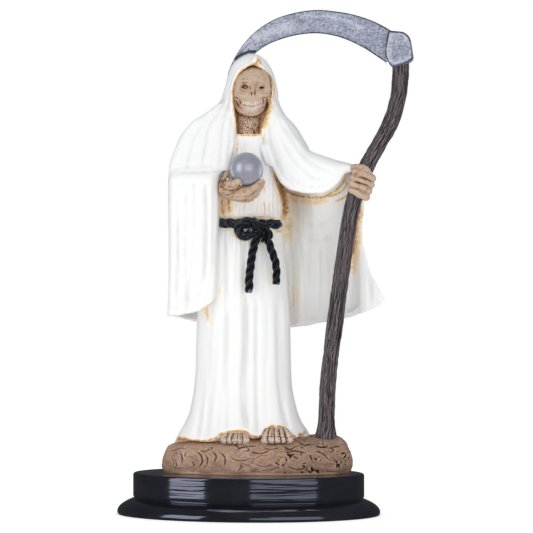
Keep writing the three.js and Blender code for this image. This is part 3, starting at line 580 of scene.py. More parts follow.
CLOAK_FOLDS = [
    (1.2, 0.5, -7.4, 178.3, -8.8, 170.6, -10.1, 163.9, -11.9, 154.8, -12.4, 145.7, -12.9, 137.1),
    (0.9, 0.4, -5.6, 168.4, -7, 161.6, -7.9, 152.5, -8.8, 139),
    (1.2, 0.5, -10.6, 169.3, -13.3, 162.9, -17.4, 157.1, -19.6, 148, -21, 137.1),
    (1.2, 0.45, -16.5, 162, -21, 156.6, -24.6, 150.3, -26.9, 143.5, -27.8, 137.1),
    (1, 0.3, -22.8, 158, -27.3, 151.6, -30.1, 144.8, -31.4, 136.7),
    (0.7, 0.5, -32.8, 135.3, -29.6, 136, -24.2, 136, -17.4, 136.1, -10.1, 136),
    (1.3, 0.5, -30.5, 133.1, -31.4, 114.1, -32.3, 96, -32.8, 77.9),
    (1.4, 0.6, -25.1, 133.1, -25.1, 109.5, -26, 91.4, -27.3, 74.2),
    (1.2, 0.5, -19.6, 133.1, -19.2, 109.5, -20.1, 91.4, -22.8, 76),
    (1, 0.4, -15.6, 131.3, -15.6, 109.5, -16, 93.7, -18.3, 80.1),
    (1.2, 0.5, 10.7, 169.3, 11.1, 162.9, 12.9, 154.8, 17, 145.7, 22, 139, 28.8, 133.5, 36, 131.7),
    (1.2, 0.5, 12, 166.6, 14.8, 159.3, 19.7, 151.2, 25.6, 143, 33.3, 137.6, 41.5, 135.8),
    (1, 0.5, 8.4, 160.2, 8.9, 152.5, 10.7, 145.7, 12.9, 139, 17.5, 132.2, 23.4, 129),
    (0.9, 0.5, 7.1, 157.1, 6.6, 150.3, 8, 143.5, 10.7, 137.6),
    (1, 0.3, 14.8, 164.8, 17.9, 158.4, 22.4, 152.1, 26.1, 146.7),
    (0.9, 0.35, 15.7, 135.8, 21.1, 131.3, 28.8, 129, 36, 130.4, 42.4, 134.9),
    (0.9, 0.3, 23.4, 135.8, 29.7, 132.6, 36.9, 133.1, 43.7, 136.7),
]
WING_CREASES = [
    (1.6, 0.4, 19.5, 120, 22, 115, 27, 111.8, 33, 112, 39, 116.6, 42, 120),
    (1.6, 0.4, 20, 112, 23.5, 107.4, 28.6, 104.8, 34.4, 105.2, 40.4, 109.6),
    (1.5, 0.5, 23.4, 102.7, 24.7, 86.9, 24.3, 68.8), (1.4, 0.45, 31.5, 102.7, 32.4, 84.6, 31.5, 69.7),
    (1.3, 0.5, 48.2, 116.3, 47.8, 100.5, 46.9, 84.6, 46, 72.4), (1.2, 0.3, 53.2, 98.2, 54.6, 86.9, 55.9, 76.5),
]
GOWN_FOLDS = [
    (1.4, 0.48, -19.2, 67.4, -19.6, 50.7, -21, 32.6, -23.3, 15.4),
    (1.3, 0.54, -9.7, 73.3, -10.6, 55.2, -11.9, 37.1, -14.2, 18.1),
    (1.3, 0.84, -1.1, 77.9, -1.5, 59.8, -2.9, 41.6, -2.9, 30.3, -0.6, 19),
    (1, 0.54, 3.9, 77.9, 3.4, 55.2, 3.4, 32.6, 3.9, 17.2),
    (1.3, 0.78, 13.4, 77.9, 13.8, 55.2, 14.3, 39.4, 16.1, 27.2, 19.3, 18.1),
    (1.4, 0.3, 8.9, 77.9, 8.9, 57.5, 8, 39.4, 8.9, 21.3), (1.2, 0.3, -6.1, 77.9, -6.5, 55.2, -7.4, 37.1, -7.4, 19.9),
    (1.2, 0.24, -14.7, 68.8, -15.6, 50.7, -16.9, 32.6, -18.3, 15.9), (1, 0.3, -10.1, 108.6, -10.6, 96, -10.1, 77.9),
    (1, 0.3, -4.7, 105, -5.2, 91.4, -5.6, 77.9), (1, 0.3, 6.6, 102.7, 7.1, 91.4, 7.1, 77.9),
    (1, 0.3, 16.1, 108.6, 16.1, 96, 15.7, 77.9),
]
# Amber wash on the gown; the broad strokes in the wedge under the held-out arm are painted shade with the wash.
GOWN_WASH_AND_SHADE = [
    (1.1, 0.9, -33.4, 15.4, -31.8, 14.6, -29, 14.3), (0.5, 0.85, -6, 152.6, -1.5, 152.4, 2.1, 152.4, 6.4, 152.6),
    (0.4, 0.6, -4.9, 152, -4.7, 149.4, -5.4, 145, -6.4, 138),
    (0.5, 0.6, -12.4, 115.4, -6.1, 115.2, 0.7, 115.4, 6.2, 115.4, 14.8, 114.5), (0.8, 0.35, -12.4, 109.8, -7, 109.1),
    (0.7, 0.7, -7, 109.1, -5.6, 106.8, -3.3, 105.5, -0.6, 105, 1.6, 105.9),
    (1, 0.6, 15.2, 114.5, 15.4, 109.5, 14.8, 109.1, 10.7, 109.1),
    (0.8, 0.6, 2.1, 103.7, 0.7, 98.2, -0.2, 92.3, -0.9, 86.9, -1.1, 80.6), (0.6, 0.5, -1.1, 79.7, -1.3, 76.5),
    (1, 0.5, 4.3, 102.3, 6.2, 104.6, 8.4, 102.7), (0.6, 0.3, 9.8, 93.7, 10.7, 89.2, 10.7, 82.8),
    (0.5, 0.3, -2.4, 115, -2.8, 119, -2.6, 124), (0.5, 0.3, 3.4, 115, 3.7, 119, 4.4, 124),
    (0.5, 0.55, 6.9, 115, 7.3, 118, 6.8, 124), (0.5, 0.3, 9.6, 114, 9.8, 119, 9.2, 124),
    (0.8, 0.95, -11.9, 126, -11.8, 121.8, -11.7, 115), (0.7, 0.9, -8.6, 126, -8.9, 121, -8.2, 117, -7, 114.6),
    (3, 0.56, -9.8, 126, -9.8, 120, -9.4, 115), (1.3, 0.25, -5.4, 123, -5.6, 118, -4, 115),
    (0.6, 0.8, -7, 123.4, -3, 122.6, 0.2, 122.6, 2.4, 123.6, 4, 125.2, 5.4, 128, 6.8, 130.6),
    (0.5, 0.5, 6.3, 134, 7, 130, 7.6, 125), (2.2, 0.9, 16.1, 127.6, 17, 120.9, 16.6, 110.4),
    (1.3, 1.3, 11.4, 137.2, 12.9, 133, 14.6, 128.6, 16, 123, 16.4, 117), (2.4, 0.3, 13, 130, 14.4, 125, 15, 119),
    (1.2, 0.25, -12.4, 84.6, -13.8, 77.9), (0.9, 0.5, -19, 75.6, -18.6, 72, -18, 67),
    (0.6, 0.8, -33.7, 14.9, -31, 14.5, -27.3, 13.6, -25.5, 13.1, -19.6, 14, -15.1, 14.9, -12.4, 17.2, -7.4, 18.3,
     -2.4, 18.6, -0.2, 17.7, 2.1, 15.9, 4.3, 15.6, 6.2, 16.5, 8, 19, 10.2, 20.6, 14.3, 20.6, 17, 19.5, 18.4, 17.7,
     21.1, 15.6, 23.4, 15.4, 25.2, 17.2, 27.4, 18.6, 28.8, 17.7),
    (0.9, 0.85, -33.6, 15.9, -30, 15.1, -26, 14.5), (0.9, 0.8, 23.4, 16.6, 25.6, 18, 28.6, 18.4),
    (0.5, 0.4, 19.3, 41.6, 20.6, 32.6, 23.4, 24.9, 27.4, 19), (0.4, 0.25, -23.7, 67.4, -23.7, 50.7),
]
# Amber wash on the cloak's edges and the hood's rim; the broad stroke low on the right inside the hood is painted shade
# with the wash.
CLOAK_WASH_AND_SHADE = [
    (0.4, 0.8, 2.1, 184, -2.4, 182.4, -4.7, 179.7, -6.1, 176.5, -7, 172.9, -7, 169.7, -6.5, 164.8, -5.6, 162.5,
     -5.2, 153),
    (0.4, 0.7, 2.1, 184, 3.9, 183.3, 6.6, 182.4, 9.3, 180.1, 10.7, 177.4, 11.6, 173.8, 11.4, 170.6, 10.5, 167.5,
     8.9, 164.8, 7.1, 162, 5.7, 159.3, 5.3, 156.2, 5.7, 152.1),
    (1.5, 0.75, 10.2, 167.4, 9, 163.9, 7.8, 159.3, 6.9, 154.8), (0.6, 0.8, 2.5, 184.2, 3.9, 185.6, 4.8, 187.8),
    (0.5, 0.7, 5.7, 184.2, 5.3, 186.5), (0.4, 0.45, -5.6, 152.1, -6.1, 145.7, -7, 136.7),
    (0.5, 0.6, 6.2, 152.1, 7.1, 149.4), (1, 0.8, -16.5, 76.5, -19.6, 73.8, -22.8, 72),
    (0.7, 0.8, 11.1, 136.9, 12.2, 133.5, 14.3, 129.9), (1, 0.8, 44.6, 134.4, 43.7, 129.9, 42.4, 125.4),
]
# Amber wash with painted shade in the recesses of the cloak: under the fold of the held-out arm, in the wedge beside
# the gown and on the cape beside the snath.
DEEP_WASH_AND_SHADE = [
    (0.7, 0.95, 11.1, 136.7, 14.3, 129.9, 18.8, 126.3, 23.4, 124.9, 28.8, 124.2, 34.7, 124.7, 39.2, 127.2, 42.8,
     131, 45.1, 135.8),
    (1.8, 0.4, 14.6, 127.5, 18, 124.2, 24, 122.6, 31, 122.2, 38, 124.6),
    (1.9, 1.5, 10.8, 137, 13, 131.5, 15, 126, 16.2, 120, 16.4, 114), (2.6, 0.4, 16, 126, 18, 119, 18, 110, 17.4, 102),
    (0.5, 0.9, 45, 134.4, 43.8, 128.8, 40, 125.8, 34, 124.2), (0.5, 0.8, 46.8, 131.8, 46.4, 127, 43, 124, 38, 122),
    (1, 0.95, 50.6, 123, 49.6, 114, 48.2, 104, 46.4, 95), (2.2, 0.4, 51.4, 120, 50.4, 110, 48.6, 100, 46.8, 88),
    (0.5, 0.4, 19.8, 88, 20.4, 80, 20.6, 70), (2.6, 0.13, 21, 98, 22, 84, 22, 70),
]
MOUND_CREASES = [
    (0.3, 0.5, -35.5, 9.1, -31.9, 10.9, -27.3, 10.4), (0.3, 0.6, -31, 9.1, -30.1, 6.3, -30.5, 3.6),
    (0.3, 0.5, -28.2, 9.1, -29.1, 6.8), (0.3, 0.6, -25.5, 4.5, -24.6, 2.7),
    (0.3, 0.6, -16.5, 9.5, -14.7, 7.3, -15.6, 4.1), (0.3, 0.6, -12.9, 9.1, -10.6, 6.3, -11, 2.7),
    (0.3, 0.6, -24, 9.5, -21.5, 7.5, -21, 4.5, -22.5, 2), (0.3, 0.5, -8.5, 6.8, -5, 5.2, -1, 5.4, 3, 6.6),
    (0.3, 0.5, -33.8, 6.5, -32.6, 3.6, -33, 1.4), (0.3, 0.5, -19.4, 8, -18.4, 5.4, -19.2, 2.6),
    (0.3, 0.5, 16.5, 8.8, 21, 9.6, 26, 8.4), (0.3, 0.5, 30.5, 9.4, 34, 8.2, 36.5, 5.6),
    (0.3, 0.5, 3, 3.4, 7, 2.4, 11, 3), (0.35, 0.7, 22.4, 13.6, 25.6, 12.2, 28.4, 12.8),
    (0.35, 0.7, 30.4, 11.6, 33.6, 11.2, 36.4, 11.6), (0.35, 0.5, -5.6, 10, -2.4, 11.3, 3.4, 11.8),
    (0.3, 0.6, 0.7, 9.1, 6.2, 8.6, 9.8, 10), (0.3, 0.5, 6.2, 11.3, 9.8, 10.4, 14.3, 11.3),
    (0.3, 0.5, -2.4, 2.7, -4.7, 0.5), (0.35, 0.6, 19.7, 7.3, 22.9, 5.9), (0.35, 0.6, 12, 4.5, 14.3, 2.7),
    (0.3, 0.5, 17.9, 2.3, 22.4, 0.9, 27.9, 2.7), (0.3, 0.6, 27.9, 7.7, 29.2, 5),
    (0.3, 0.5, 14.3, 13.1, 21.5, 14, 27.9, 15.9), (0.3, 0.5, 36.9, 10.9, 41.5, 11.8),
]

BLADE_MARKS = [
    (0.5, 1.6, -6.6, 186.6, -5.2, 187.7, -1.1, 189.9, 3.6, 190.5), (0.35, 0.6, -4.2, 189, -1.1, 192.4, 3, 195.5),
    (0.3, 0.5, -0.6, 190.6, 2.1, 192.8, 6.2, 194.9), (0.3, 0.4, 4.4, 192, 7.6, 193.4, 11.7, 194.4),
    (0.4, 0.35, 40, 199.6, 48, 196, 55, 191.6),
]
# Painted highlights along the blade.
BLADE_PAINTED_HIGHLIGHT = [
    (2.2, 0.5, -3, 190.4, 1.4, 194, 6, 197.4, 14, 200.6, 22, 201.6),
    (0.8, 0.35, 22, 206.6, 34, 206.4, 46, 203.6, 56, 199),
]
GAP_ROUTE = [[6.6, 149, -8.2], [9, 143.5, -8.8], [10.8, 138.6, -8.2]]
LAP_ROUTE = [[-7.4, 150, -10.2], [-8, 144, -11], [-8.8, 138, -11.8]]


# Finishes


def begun(name):
    """Material of this name with a bare shader joined to its output, and its node tree."""
    paint = bpy.data.materials.get(name) or bpy.data.materials.new(name)
    paint.use_nodes = True
    tree = paint.node_tree
    tree.nodes.clear()
    shader = tree.nodes.new("ShaderNodeBsdfPrincipled")
    out = tree.nodes.new("ShaderNodeOutputMaterial")
    tree.links.new(shader.outputs[0], out.inputs[0])
    return paint, tree


def add(tree, kind, sockets=None, stops=(), **settings):
    """Adds a node: settings go on it, each socket takes a value or another's output, and a ramp takes its stops."""
    made = tree.nodes.new("ShaderNode" + kind)
    for name, value in settings.items():
        setattr(made, name, value)
    for name, value in (sockets or {}).items():
        socket = made.inputs[name]
        if isinstance(value, bpy.types.NodeSocket):
            tree.links.new(value, socket)
        else:
            socket.default_value = value
    points = made.color_ramp.elements if stops else []
    while len(points) < len(stops):
        points.new(0.5)
    for point, (place, colour) in zip(points, stops):
        point.position = place
        point.color = [*colour, 1]
    return made


def specks(tree, size, detail=3.0, rough=0.6, stretch=(1, 1, 1)):
    """Noise whose grains are about `size` metres wide."""
    place = add(tree, "TexCoord").outputs["Object"]
    turned = add(tree, "Mapping", {"Vector": place, "Scale": stretch}).outputs[0]
    sockets = {"Vector": turned, "Scale": 0.5 / size, "Detail": detail, "Roughness": rough}
    return add(tree, "TexNoise", sockets).outputs["Fac"]


def sum_of(tree, *terms):
    """Sum kept from 0 to 1: terms of weight and output or painted layer's name, and a plain number."""
    total = 0.0
    for term in terms:
        if not isinstance(term, tuple):
            total = add(tree, "Math", {0: total, 1: term}, operation="ADD").outputs[0]
            continue
        weight, output = term
        if isinstance(output, str):
            output = add(tree, "Attribute", attribute_name=output).outputs["Fac"]
        total = add(tree, "Math", {0: output, 1: weight, 2: total}, operation="MULTIPLY_ADD").outputs[0]
    return add(tree, "Clamp", {"Value": total}).outputs[0]


def coated(paint, dark, stops, rough, relief, depth, veils=(), **plain):
    """Colours the shader along `dark`, lays veils over that, joins roughness and relief, and sets what is even."""
    tree = paint.node_tree
    shader = tree.nodes["Principled BSDF"]
    colour = add(tree, "ValToRGB", {"Fac": dark}, stops).outputs["Color"]
    for share, veil in veils:
        colour = add(tree, "Mix", {0: share, 6: colour, 7: veil}, data_type="RGBA").outputs[2]
    bumped = add(tree, "Bump", {"Height": relief, "Strength": 1.0, "Distance": depth}).outputs[0]
    for name, value in (("Base Color", colour), ("Roughness", rough), ("Normal", bumped)):
        tree.links.new(value, shader.inputs[name])
    for name, value in plain.items():
        shader.inputs["IOR" if name == "ior" else name.replace("_", " ").title()].default_value = value
    return paint


def tone(colour, share):
    """A colour brought towards black below 1 or towards white above it."""
    return [c * share if share <= 1 else c + (1 - c) * (share - 1) for c in colour]


def shade(name):
    """A colour from the panel."""
    return list(getattr(bpy.context.scene.statuette_colours, name))


def robe_paint():
    # Satin white paint sprayed on cast resin: brush-soft sheen, amber wash caught in folds, hems and undersides, with
    # painted shade in recesses and creases.
    paint, tree = begun("cast resin, sprayed satin white, wiped with amber wash")
    cloud, fine, speckled = specks(tree, 0.004, 4), specks(tree, 0.0009, 3), specks(tree, 0.0007, 4, 0.75)
    broken = sum_of(tree, (2.2, speckled), (1.0, cloud), -0.95)
    share = sum_of(tree, (broken, "wash"), (0.06, cloud), -0.03)
    amber = shade("wash")
    stops = [(0, shade("robe")), (0.08, linear("F0EBE2")), (0.26, linear("EAD2AC")), (0.55, amber)]
    veils = [
        # painted shade: pinkish grey low on the cape under the held-out arm
        (sum_of(tree, (0.3, "rose")), [*linear("CDB8BC"), 1]),
        # painted shade: neutral grey in the creases
        (sum_of(tree, (0.4, "cavity"), -0.03), [*linear("B4B2B4"), 1]),
    ]
    rough = sum_of(tree, (0.22, fine), (0.15, cloud), 0.3)
    relief = sum_of(tree, (0.7, fine), (0.4, specks(tree, 0.0022, 2)))
    return coated(paint, share, [*stops, (0.95, tone(amber, 0.4))], rough, relief, 0.00006, veils, ior=1.48)


def bone_paint():
    # Tan bone paint stippled on cast resin: matt, with umber left in every hollow and pale worn ridges.
    paint, tree = begun("cast resin, stippled bone paint, wiped with umber")
    cloud, fine, mottle = specks(tree, 0.0022, 4), specks(tree, 0.0005, 3, 0.7), specks(tree, 0.001, 3, 0.6)
    dark = sum_of(tree, (0.8, "wash"), (0.5, "cavity"), (0.6, cloud), (1.1, mottle), -0.62)
    bone = shade("bone")
    stops = [(0, tone(bone, 1.1)), (0.26, bone), (0.45, linear("9A7455")), (0.72, linear("6A4527"))]
    enamel = [(0, linear("DCCCC2")), (0.4, linear("AC978A")), (1, linear("4A3830"))]
    veils = [(sum_of(tree, (0.85, "teeth")), add(tree, "ValToRGB", {"Fac": dark}, enamel).outputs["Color"])]
    rough, relief = sum_of(tree, (0.25, fine), 0.42), sum_of(tree, (1, fine), (0.5, cloud))
    return coated(paint, dark, [*stops, (1, linear("2E1D15"))], rough, relief, 0.00008, veils, ior=1.46)


def earth_paint():
    # Earth-brown paint on cast resin: dull, dry-brushed pale on the lumps, dark in cracks and pits.
    paint, tree = begun("cast resin, brushed earth paint")
    cloud, fine = specks(tree, 0.005, 4), specks(tree, 0.0007, 4, 0.7)
    dark = sum_of(tree, (0.6, "wash"), (0.45, "cavity"), (0.7, cloud), (0.5, fine), -0.25)
    earth = shade("earth")
    stops = [(0, tone(earth, 1.12)), (0.3, earth), (0.5, tone(earth, 0.72)), (0.75, tone(earth, 0.4))]
    rough, relief = sum_of(tree, (0.25, fine), 0.5), sum_of(tree, (1, fine), (0.4, cloud))
    return coated(paint, dark, [*stops, (1, linear("2C1C13"))], rough, relief, 0.00012, ior=1.46)


def wood_paint():
    # Charcoal-brown paint on a carved grain: satin ridges dry-brushed grey, near-black furrows.
    paint, tree = begun("cast resin, wood grain painted charcoal brown")
    streak, cloud = specks(tree, 0.0006, 4, 0.6, (1, 1, 0.07)), specks(tree, 0.004, 3)
    dark = sum_of(tree, (0.5, "wash"), (0.4, "cavity"), (0.9, streak), (0.3, cloud), -0.24)
    wood = shade("wood")
    stops = [(0, tone(wood, 1.08)), (0.3, wood), (0.55, tone(wood, 0.7)), (0.8, tone(wood, 0.35))]
    rough = sum_of(tree, (0.3, streak), 0.36)
    return coated(paint, dark, [*stops, (1, tone(wood, 0.15))], rough, streak, 0.00012, ior=1.5)


def silver_paint():
    # Aluminium-flake paint brushed over cast resin: soft bluish shine, mottled, darker along the edges, with painted
    # highlights on blade and ferrule.
    paint, tree = begun("cast resin, brushed aluminium-flake paint")
    cloud, fleck = specks(tree, 0.0035, 3, 0.6), specks(tree, 0.00045, 3, 0.8)
    brush = specks(tree, 0.0006, 4, 0.75, (0.6, 1, 1))
    dark = sum_of(tree, (0.3, "cavity"), (0.25, cloud), (0.9, brush), (1.9, fleck), (0.7, "wash"), -1.22)
    silver = shade("silver")
    stops = [(0, tone(silver, 1.4)), (0.3, silver), (0.6, tone(silver, 0.55)), (1, tone(silver, 0.08))]
    rough, relief = sum_of(tree, (0.22, cloud), (0.25, brush), 0.2), sum_of(tree, (0.4, cloud), (0.8, brush))
    return coated(paint, dark, stops, rough, relief, 0.00022, metallic=0.35)


def ball_paint():
    # The same flake paint sprayed on the ball: finer, so broad soft highlights over a grey body.
    paint, tree = begun("cast resin, sprayed aluminium-flake paint")
    cloud, fine = specks(tree, 0.003, 4), specks(tree, 0.0004, 2)
    stops = [(0.25, tone(shade("silver"), 1.4)), (0.7, tone(shade("silver"), 1.15))]
    rough, relief = sum_of(tree, (0.12, cloud), (0.1, fine), 0.2), sum_of(tree, (0.6, fine), (0.4, cloud))
    rim = [*linear("9A9CA6"), 1]
    return coated(paint, cloud, stops, rough, relief, 0.00001, metallic=0.6, specular_tint=rim)


def rope_paint():
    # Black paint on a carved twist, dry-brushed blue-grey along the crowns of the strands, which also serves as a
    # painted highlight there.
    paint, tree = begun("cast resin rope, black paint dry-brushed blue-grey")
    fibre = specks(tree, 0.00035, 3, 0.7)
    # dry-brush and painted highlight: lighter on the crowns of the strands
    light = sum_of(tree, (-1.9, "cavity"), (1.8, fibre), -1.2)
    black = shade("rope")
    stops = [(0, tone(black, 0.3)), (0.4, tone(black, 0.7)), (0.75, linear("222A38")), (1, linear("66718A"))]
    return coated(paint, light, stops, sum_of(tree, (0.35, fibre), 0.1), fibre, 0.00004, ior=1.5)


def lacquer():
    # Black lacquer, brushed and rubbed on a turned block: mirror-like with faint level brush streaks.
    paint, tree = begun("turned wood, brushed black lacquer")
    level = (0.04, 0.04, 1)
    streak, ragged = specks(tree, 0.0005, 1, 0.6, level), specks(tree, 0.0014, 1, 0.5, level)
    wave = specks(tree, 0.004, 2, 0.5, (0.5, 0.5, 1))
    stops = [(0.2, tone(shade("lacquer"), 0.8)), (0.8, tone(shade("lacquer"), 1.01))]
    rough = sum_of(tree, (0.08, wave), (0.05, streak), 0.03)
    relief = sum_of(tree, (0.35, streak), (0.35, wave), (0.9, sum_of(tree, (ragged, "drag"))), -0.1)
    return coated(paint, wave, stops, rough, relief, 0.00031, ior=2.75, specular_tint=[*linear("DCE2FF"), 1])


def glue_resin():
    # Clear hard glue squeezed out in beads: bright wet glints.
    paint, tree = begun("clear glue, cured in beads")
    cloud = specks(tree, 0.0006, 2)
    stops = [(0, linear("F4F0E8")), (1, linear("E8E2D6"))]
    rough = sum_of(tree, (0.1, cloud), 0.05)
    return coated(paint, cloud, stops, rough, cloud, 0.00004, ior=1.49, transmission_weight=0.4)


def stage_floor():
    # Matt white sweep: no pattern to the eye, only the faintest tooth.
    paint, tree = begun("matt white paper")
    tooth = specks(tree, 0.002, 2)
    stops = [(0, linear("FAFAFA")), (1, linear("FDFDFD"))]
    glow = {"emission_strength": 0.33, "emission_color": (1, 1, 1, 1)}
    return coated(paint, tooth, stops, sum_of(tree, (0.05, tooth), 0.9), tooth, 0.00002, ior=1.45, **glow)
# Placing


def unit():
    """Metres to one carving millimetre."""
    return bpy.context.scene.statuette_sizes.figure_height / CARVED_HEIGHT


def carved(size):
    """A real size in metres as carving millimetres."""
    return size / unit()


def painted(mesh, **layers):
    """Stores one number a vertex for each named layer."""
    for name, values in layers.items():
        stored = mesh.attributes.get(name) or mesh.attributes.new(name, "FLOAT", "POINT")
        stored.data.foreach_set("value", np.asarray(values, np.float32))


def shown(name, mesh, node, paint, metres=False):
    """Places a mesh in the frame as a piece that rides on the body and stands for a node."""
    if not metres:
        moved(mesh, gauged(mesh)[0] * unit() + [0, 0, FIGURE_LOW[2]])
    mesh.name = name
    mesh.shade_smooth()
    mesh.materials.clear()
    mesh.materials.append(paint)
    piece = fresh(name, mesh)
    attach(piece, "root")
    if node:
        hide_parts(node)


# Gown and cloak


def gown_wall(angle, share):
    """The gown's sides, with a hem that arches over the feet."""
    height = mix(12, 152.6, share)
    x, y = oval(angle, *sides(GOWN_ROWS, height), 0.9)
    hem = read(GOWN_HEM, seen(joined(x, y, height))[:, 0]) + 0.1
    height = height + (hem - 12) * (1 - step(y, -2, 6)) * (1 - step(height, 12, 30))
    corner = mix(0.9, 0.62, step(height, 116, 132))
    x, y = oval(angle, *sides(GOWN_ROWS, height), corner)
    for foot, head, depth, width in GOWN_FRONT:
        fold = depth * bump(x, mix(foot, head, share), width)
        y = y + fold * (1 - step(y, 0, 5)) * (1 - 0.6 * step(height, 100, 112))
    y = y - 0.8 * (1 + np.cos(x * 0.9)) * step(y, 12, 20)
    return joined(x, y, height)


def cape_wall(angle, share):
    """The cape that hangs behind and under the held-out arm: a slab with rounded edges."""
    across = 0.5 - 0.5 * np.cos(angle)
    side = np.sign(np.sin(angle)) * np.abs(np.sin(angle)) ** 0.35
    head_x = mix(-34.6, 50.5, across)
    height = mix(read(CAPE_HEM, across), read(CAPE_TOP, head_x), share)
    x = mix(read(CAPE_LEFT, height), read(CAPE_RIGHT, height), across)
    shoulder = step(height, 125, 165)
    wing = step(x, 18, 34)
    arm = wing * step(height, 96, 134)
    pleats = 0.9 * np.cos(x * 0.55) * (1 - wing) * (1 - step(height, 100, 140))
    folds = sum(depth * bump(x, mix(foot, head, share), width) for foot, head, depth, width in WING_FOLDS)
    hung = read(CAPE_PLAN, x) - wing * folds - pleats
    y = mix(mix(hung, read(CAPE_NAPE, x), shoulder * (1 - wing)), 4.5, arm)
    rim = np.minimum(1, np.minimum(across, 1 - across) * 26 + 0.6)
    lip = np.sqrt(np.clip(1 - (1 - np.clip(share / 0.012, 0, 1)) ** 2, 0.02, 1))
    half = mix(mix(2.4, 1.4, wing), 3.2, shoulder) * rim * lip
    return joined(x, y + side * half, height)


def sleeve_wall(angle, share):
    """The deep bell sleeve of the bent forearm, with a slanting hem."""
    left, right = sides(SLEEVE_ROWS, mix(78, 136.6, share))[:2]
    x = oval(angle, left, right, 0, 1, 0.42)[0]
    height = mix(read(SLEEVE_HEM, x), 136.6, share)
    front, back = sides(SLEEVE_ROWS, height)[2:]
    y = oval(angle, 0, 1, front, back, 0.42)[1]
    for foot, head, depth, width in SLEEVE_FOLDS:
        y = y + depth * bump(x, mix(foot, head, share), width) * step(-y, 4, 12) * (1 - step(share, 0.75, 0.95))
    return joined(x, y, height)


def rows_wall(rows, corner):
    """Side of a body that rows of height, left, right, front and back give."""

    def wall(angle, share):
        height = mix(rows[0][0], rows[-1][0], share)
        x, y = oval(angle, *sides(rows, height), corner)
        return joined(x, y, height)

    return wall


def arm_wall(angle, share):
    """The sleeve over the held-out arm: a sagging fold with a thin lower lip."""
    x = mix(6, 50.4, share)
    bottom, top, front = (read(rows, x) for rows in (ARM_LIP, ARM_TOP, ARM_FRONT))
    deep, high = oval(angle, 0, 1, 0, 1, 0.85)
    back = mix(front + 2.6, 9, step(high, 0.1, 0.75))
    sag = 0.9 * np.sin(high * 15 - 2) * step(1 - deep, 0.4, 0.9) * step(x, 10, 16) * (1 - step(x, 40, 48))
    return joined(x, mix(back, front, deep) - sag, mix(bottom, top, high))


def opening_wall(angle, share):
    """The space round the face."""
    height = mix(137, 183.5, share)
    left, right = sides(OPENING_ROWS, height)
    x, y = oval(angle, left, right, -24, mix(-3, 1, step(height, 150, 183.5)), 0.6)
    return joined(x, y, height)


def on_front(rows, corner, x, height):
    """How far forward a body of rows stands at a place."""
    left, right, front, back = map(float, sides(rows, height))
    across = np.clip((x - (left + right) / 2) * 2 / (right - left), -1, 1)
    deep = math.sqrt(max(0.0, 1 - abs(across) ** (2 / corner))) ** corner
    return (front + back) / 2 - (back - front) / 2 * deep


def hood_rim():
    """Rolled edge of the hood: up one side of the face, over the brow and down the other."""
    heights = [152, 157, 162, 167, 172, 176.5, 180.3, 182.7]
    left = [(float(read(OPENING_ROWS, h, 1)) - 0.5, h) for h in heights]
    right = [(float(read(OPENING_ROWS, h, 2)) + 0.5, h) for h in reversed(heights)]
    route = []
    for x, height in left + [(3, 184.3)] + right:
        hood_y = on_front(HOOD_ROWS, 0.92, x, max(height, 150))
        mantle = LEFT_SHOULDER if x < 0 else RIGHT_SHOULDER
        mantle_y = on_front(mantle, 0.78, x, min(height, 166)) if height < 163 else 0
        route.append([x, min(hood_y, mantle_y) + 0.2, height])
    return route


def sweep(points, normals, strokes, near=-99, far=99):
    """Presses drawn folds into the surfaces that face the front between two depths."""
    facing = step(-normals[:, 1], 0.05, 0.45)
    held = facing * step(points[:, 1], near - 1, near) * (1 - step(points[:, 1], far, far + 1))
    return points - normals * (marked(seen(points), strokes) * held)[:, None]


def make_gown(context):
    mesh = gathered([tube(360, 260, gown_wall)])
    points, normals = gauged(mesh)
    points = sweep(points, normals, GOWN_FOLDS)
    flat = seen(points)
    facing = step(-normals[:, 1], 0.2, 0.7)
    chest = facing * step(flat[:, 1], 113, 117) * (1 - step(flat[:, 1], 146, 151.5))
    wander = 0.9 * np.sin(flat[:, 1] / 6) + 0.4 * np.sin(flat[:, 1] / 2.3)
    pleats = 0.5 + 0.5 * np.sin(TURN * (flat[:, 0] + 0.35 * wander) / 1.9)
    depth = mix(0.22, 0.5, bump(flat[:, 1], 118, 4))
    skirt = facing * step(flat[:, 1], 96, 106) * (1 - step(flat[:, 1], 108, 111))
    hem = flat[:, 1] - read(GOWN_HEM, flat[:, 0])
    roll = 0.35 * bump(hem, 0.5, 0.6) * facing
    push = 0.9 * bump(flat[:, 1], 116.8, 2.2) * facing - chest * pleats * depth - 0.35 * skirt * pleats + roll
    push = push + 0.06 * cloudy(points, 3.2, 4) + 0.12 * cloudy(points * [1, 1, 0.25], 2.4, 9)
    points, normals = raised(mesh, points, normals, push)
    facing = step(-normals[:, 1], 0, 0.45)
    beside = step(points[:, 0], 8, 10) * step(points[:, 2], 98, 104)
    # amber wash, with painted shade in the wedge under the held-out arm
    wash_and_shade = marked(seen(points), GOWN_WASH_AND_SHADE) * np.maximum(facing, beside)
    wash_and_shade = np.maximum(wash_and_shade, 0.9 * bump(hem, 0, 0.55) * step(-points[:, 1], -4, 2))
    around = step(20 - points[:, 2], 0, 5) * step(points[:, 1], 4, 12)
    painted(mesh, wash=np.maximum(wash_and_shade, 0.35 * around * bump(points[:, 2], 13.9, 0.8)), cavity=hollowness(mesh))
    shown("gown", mesh, "figure", robe_paint())


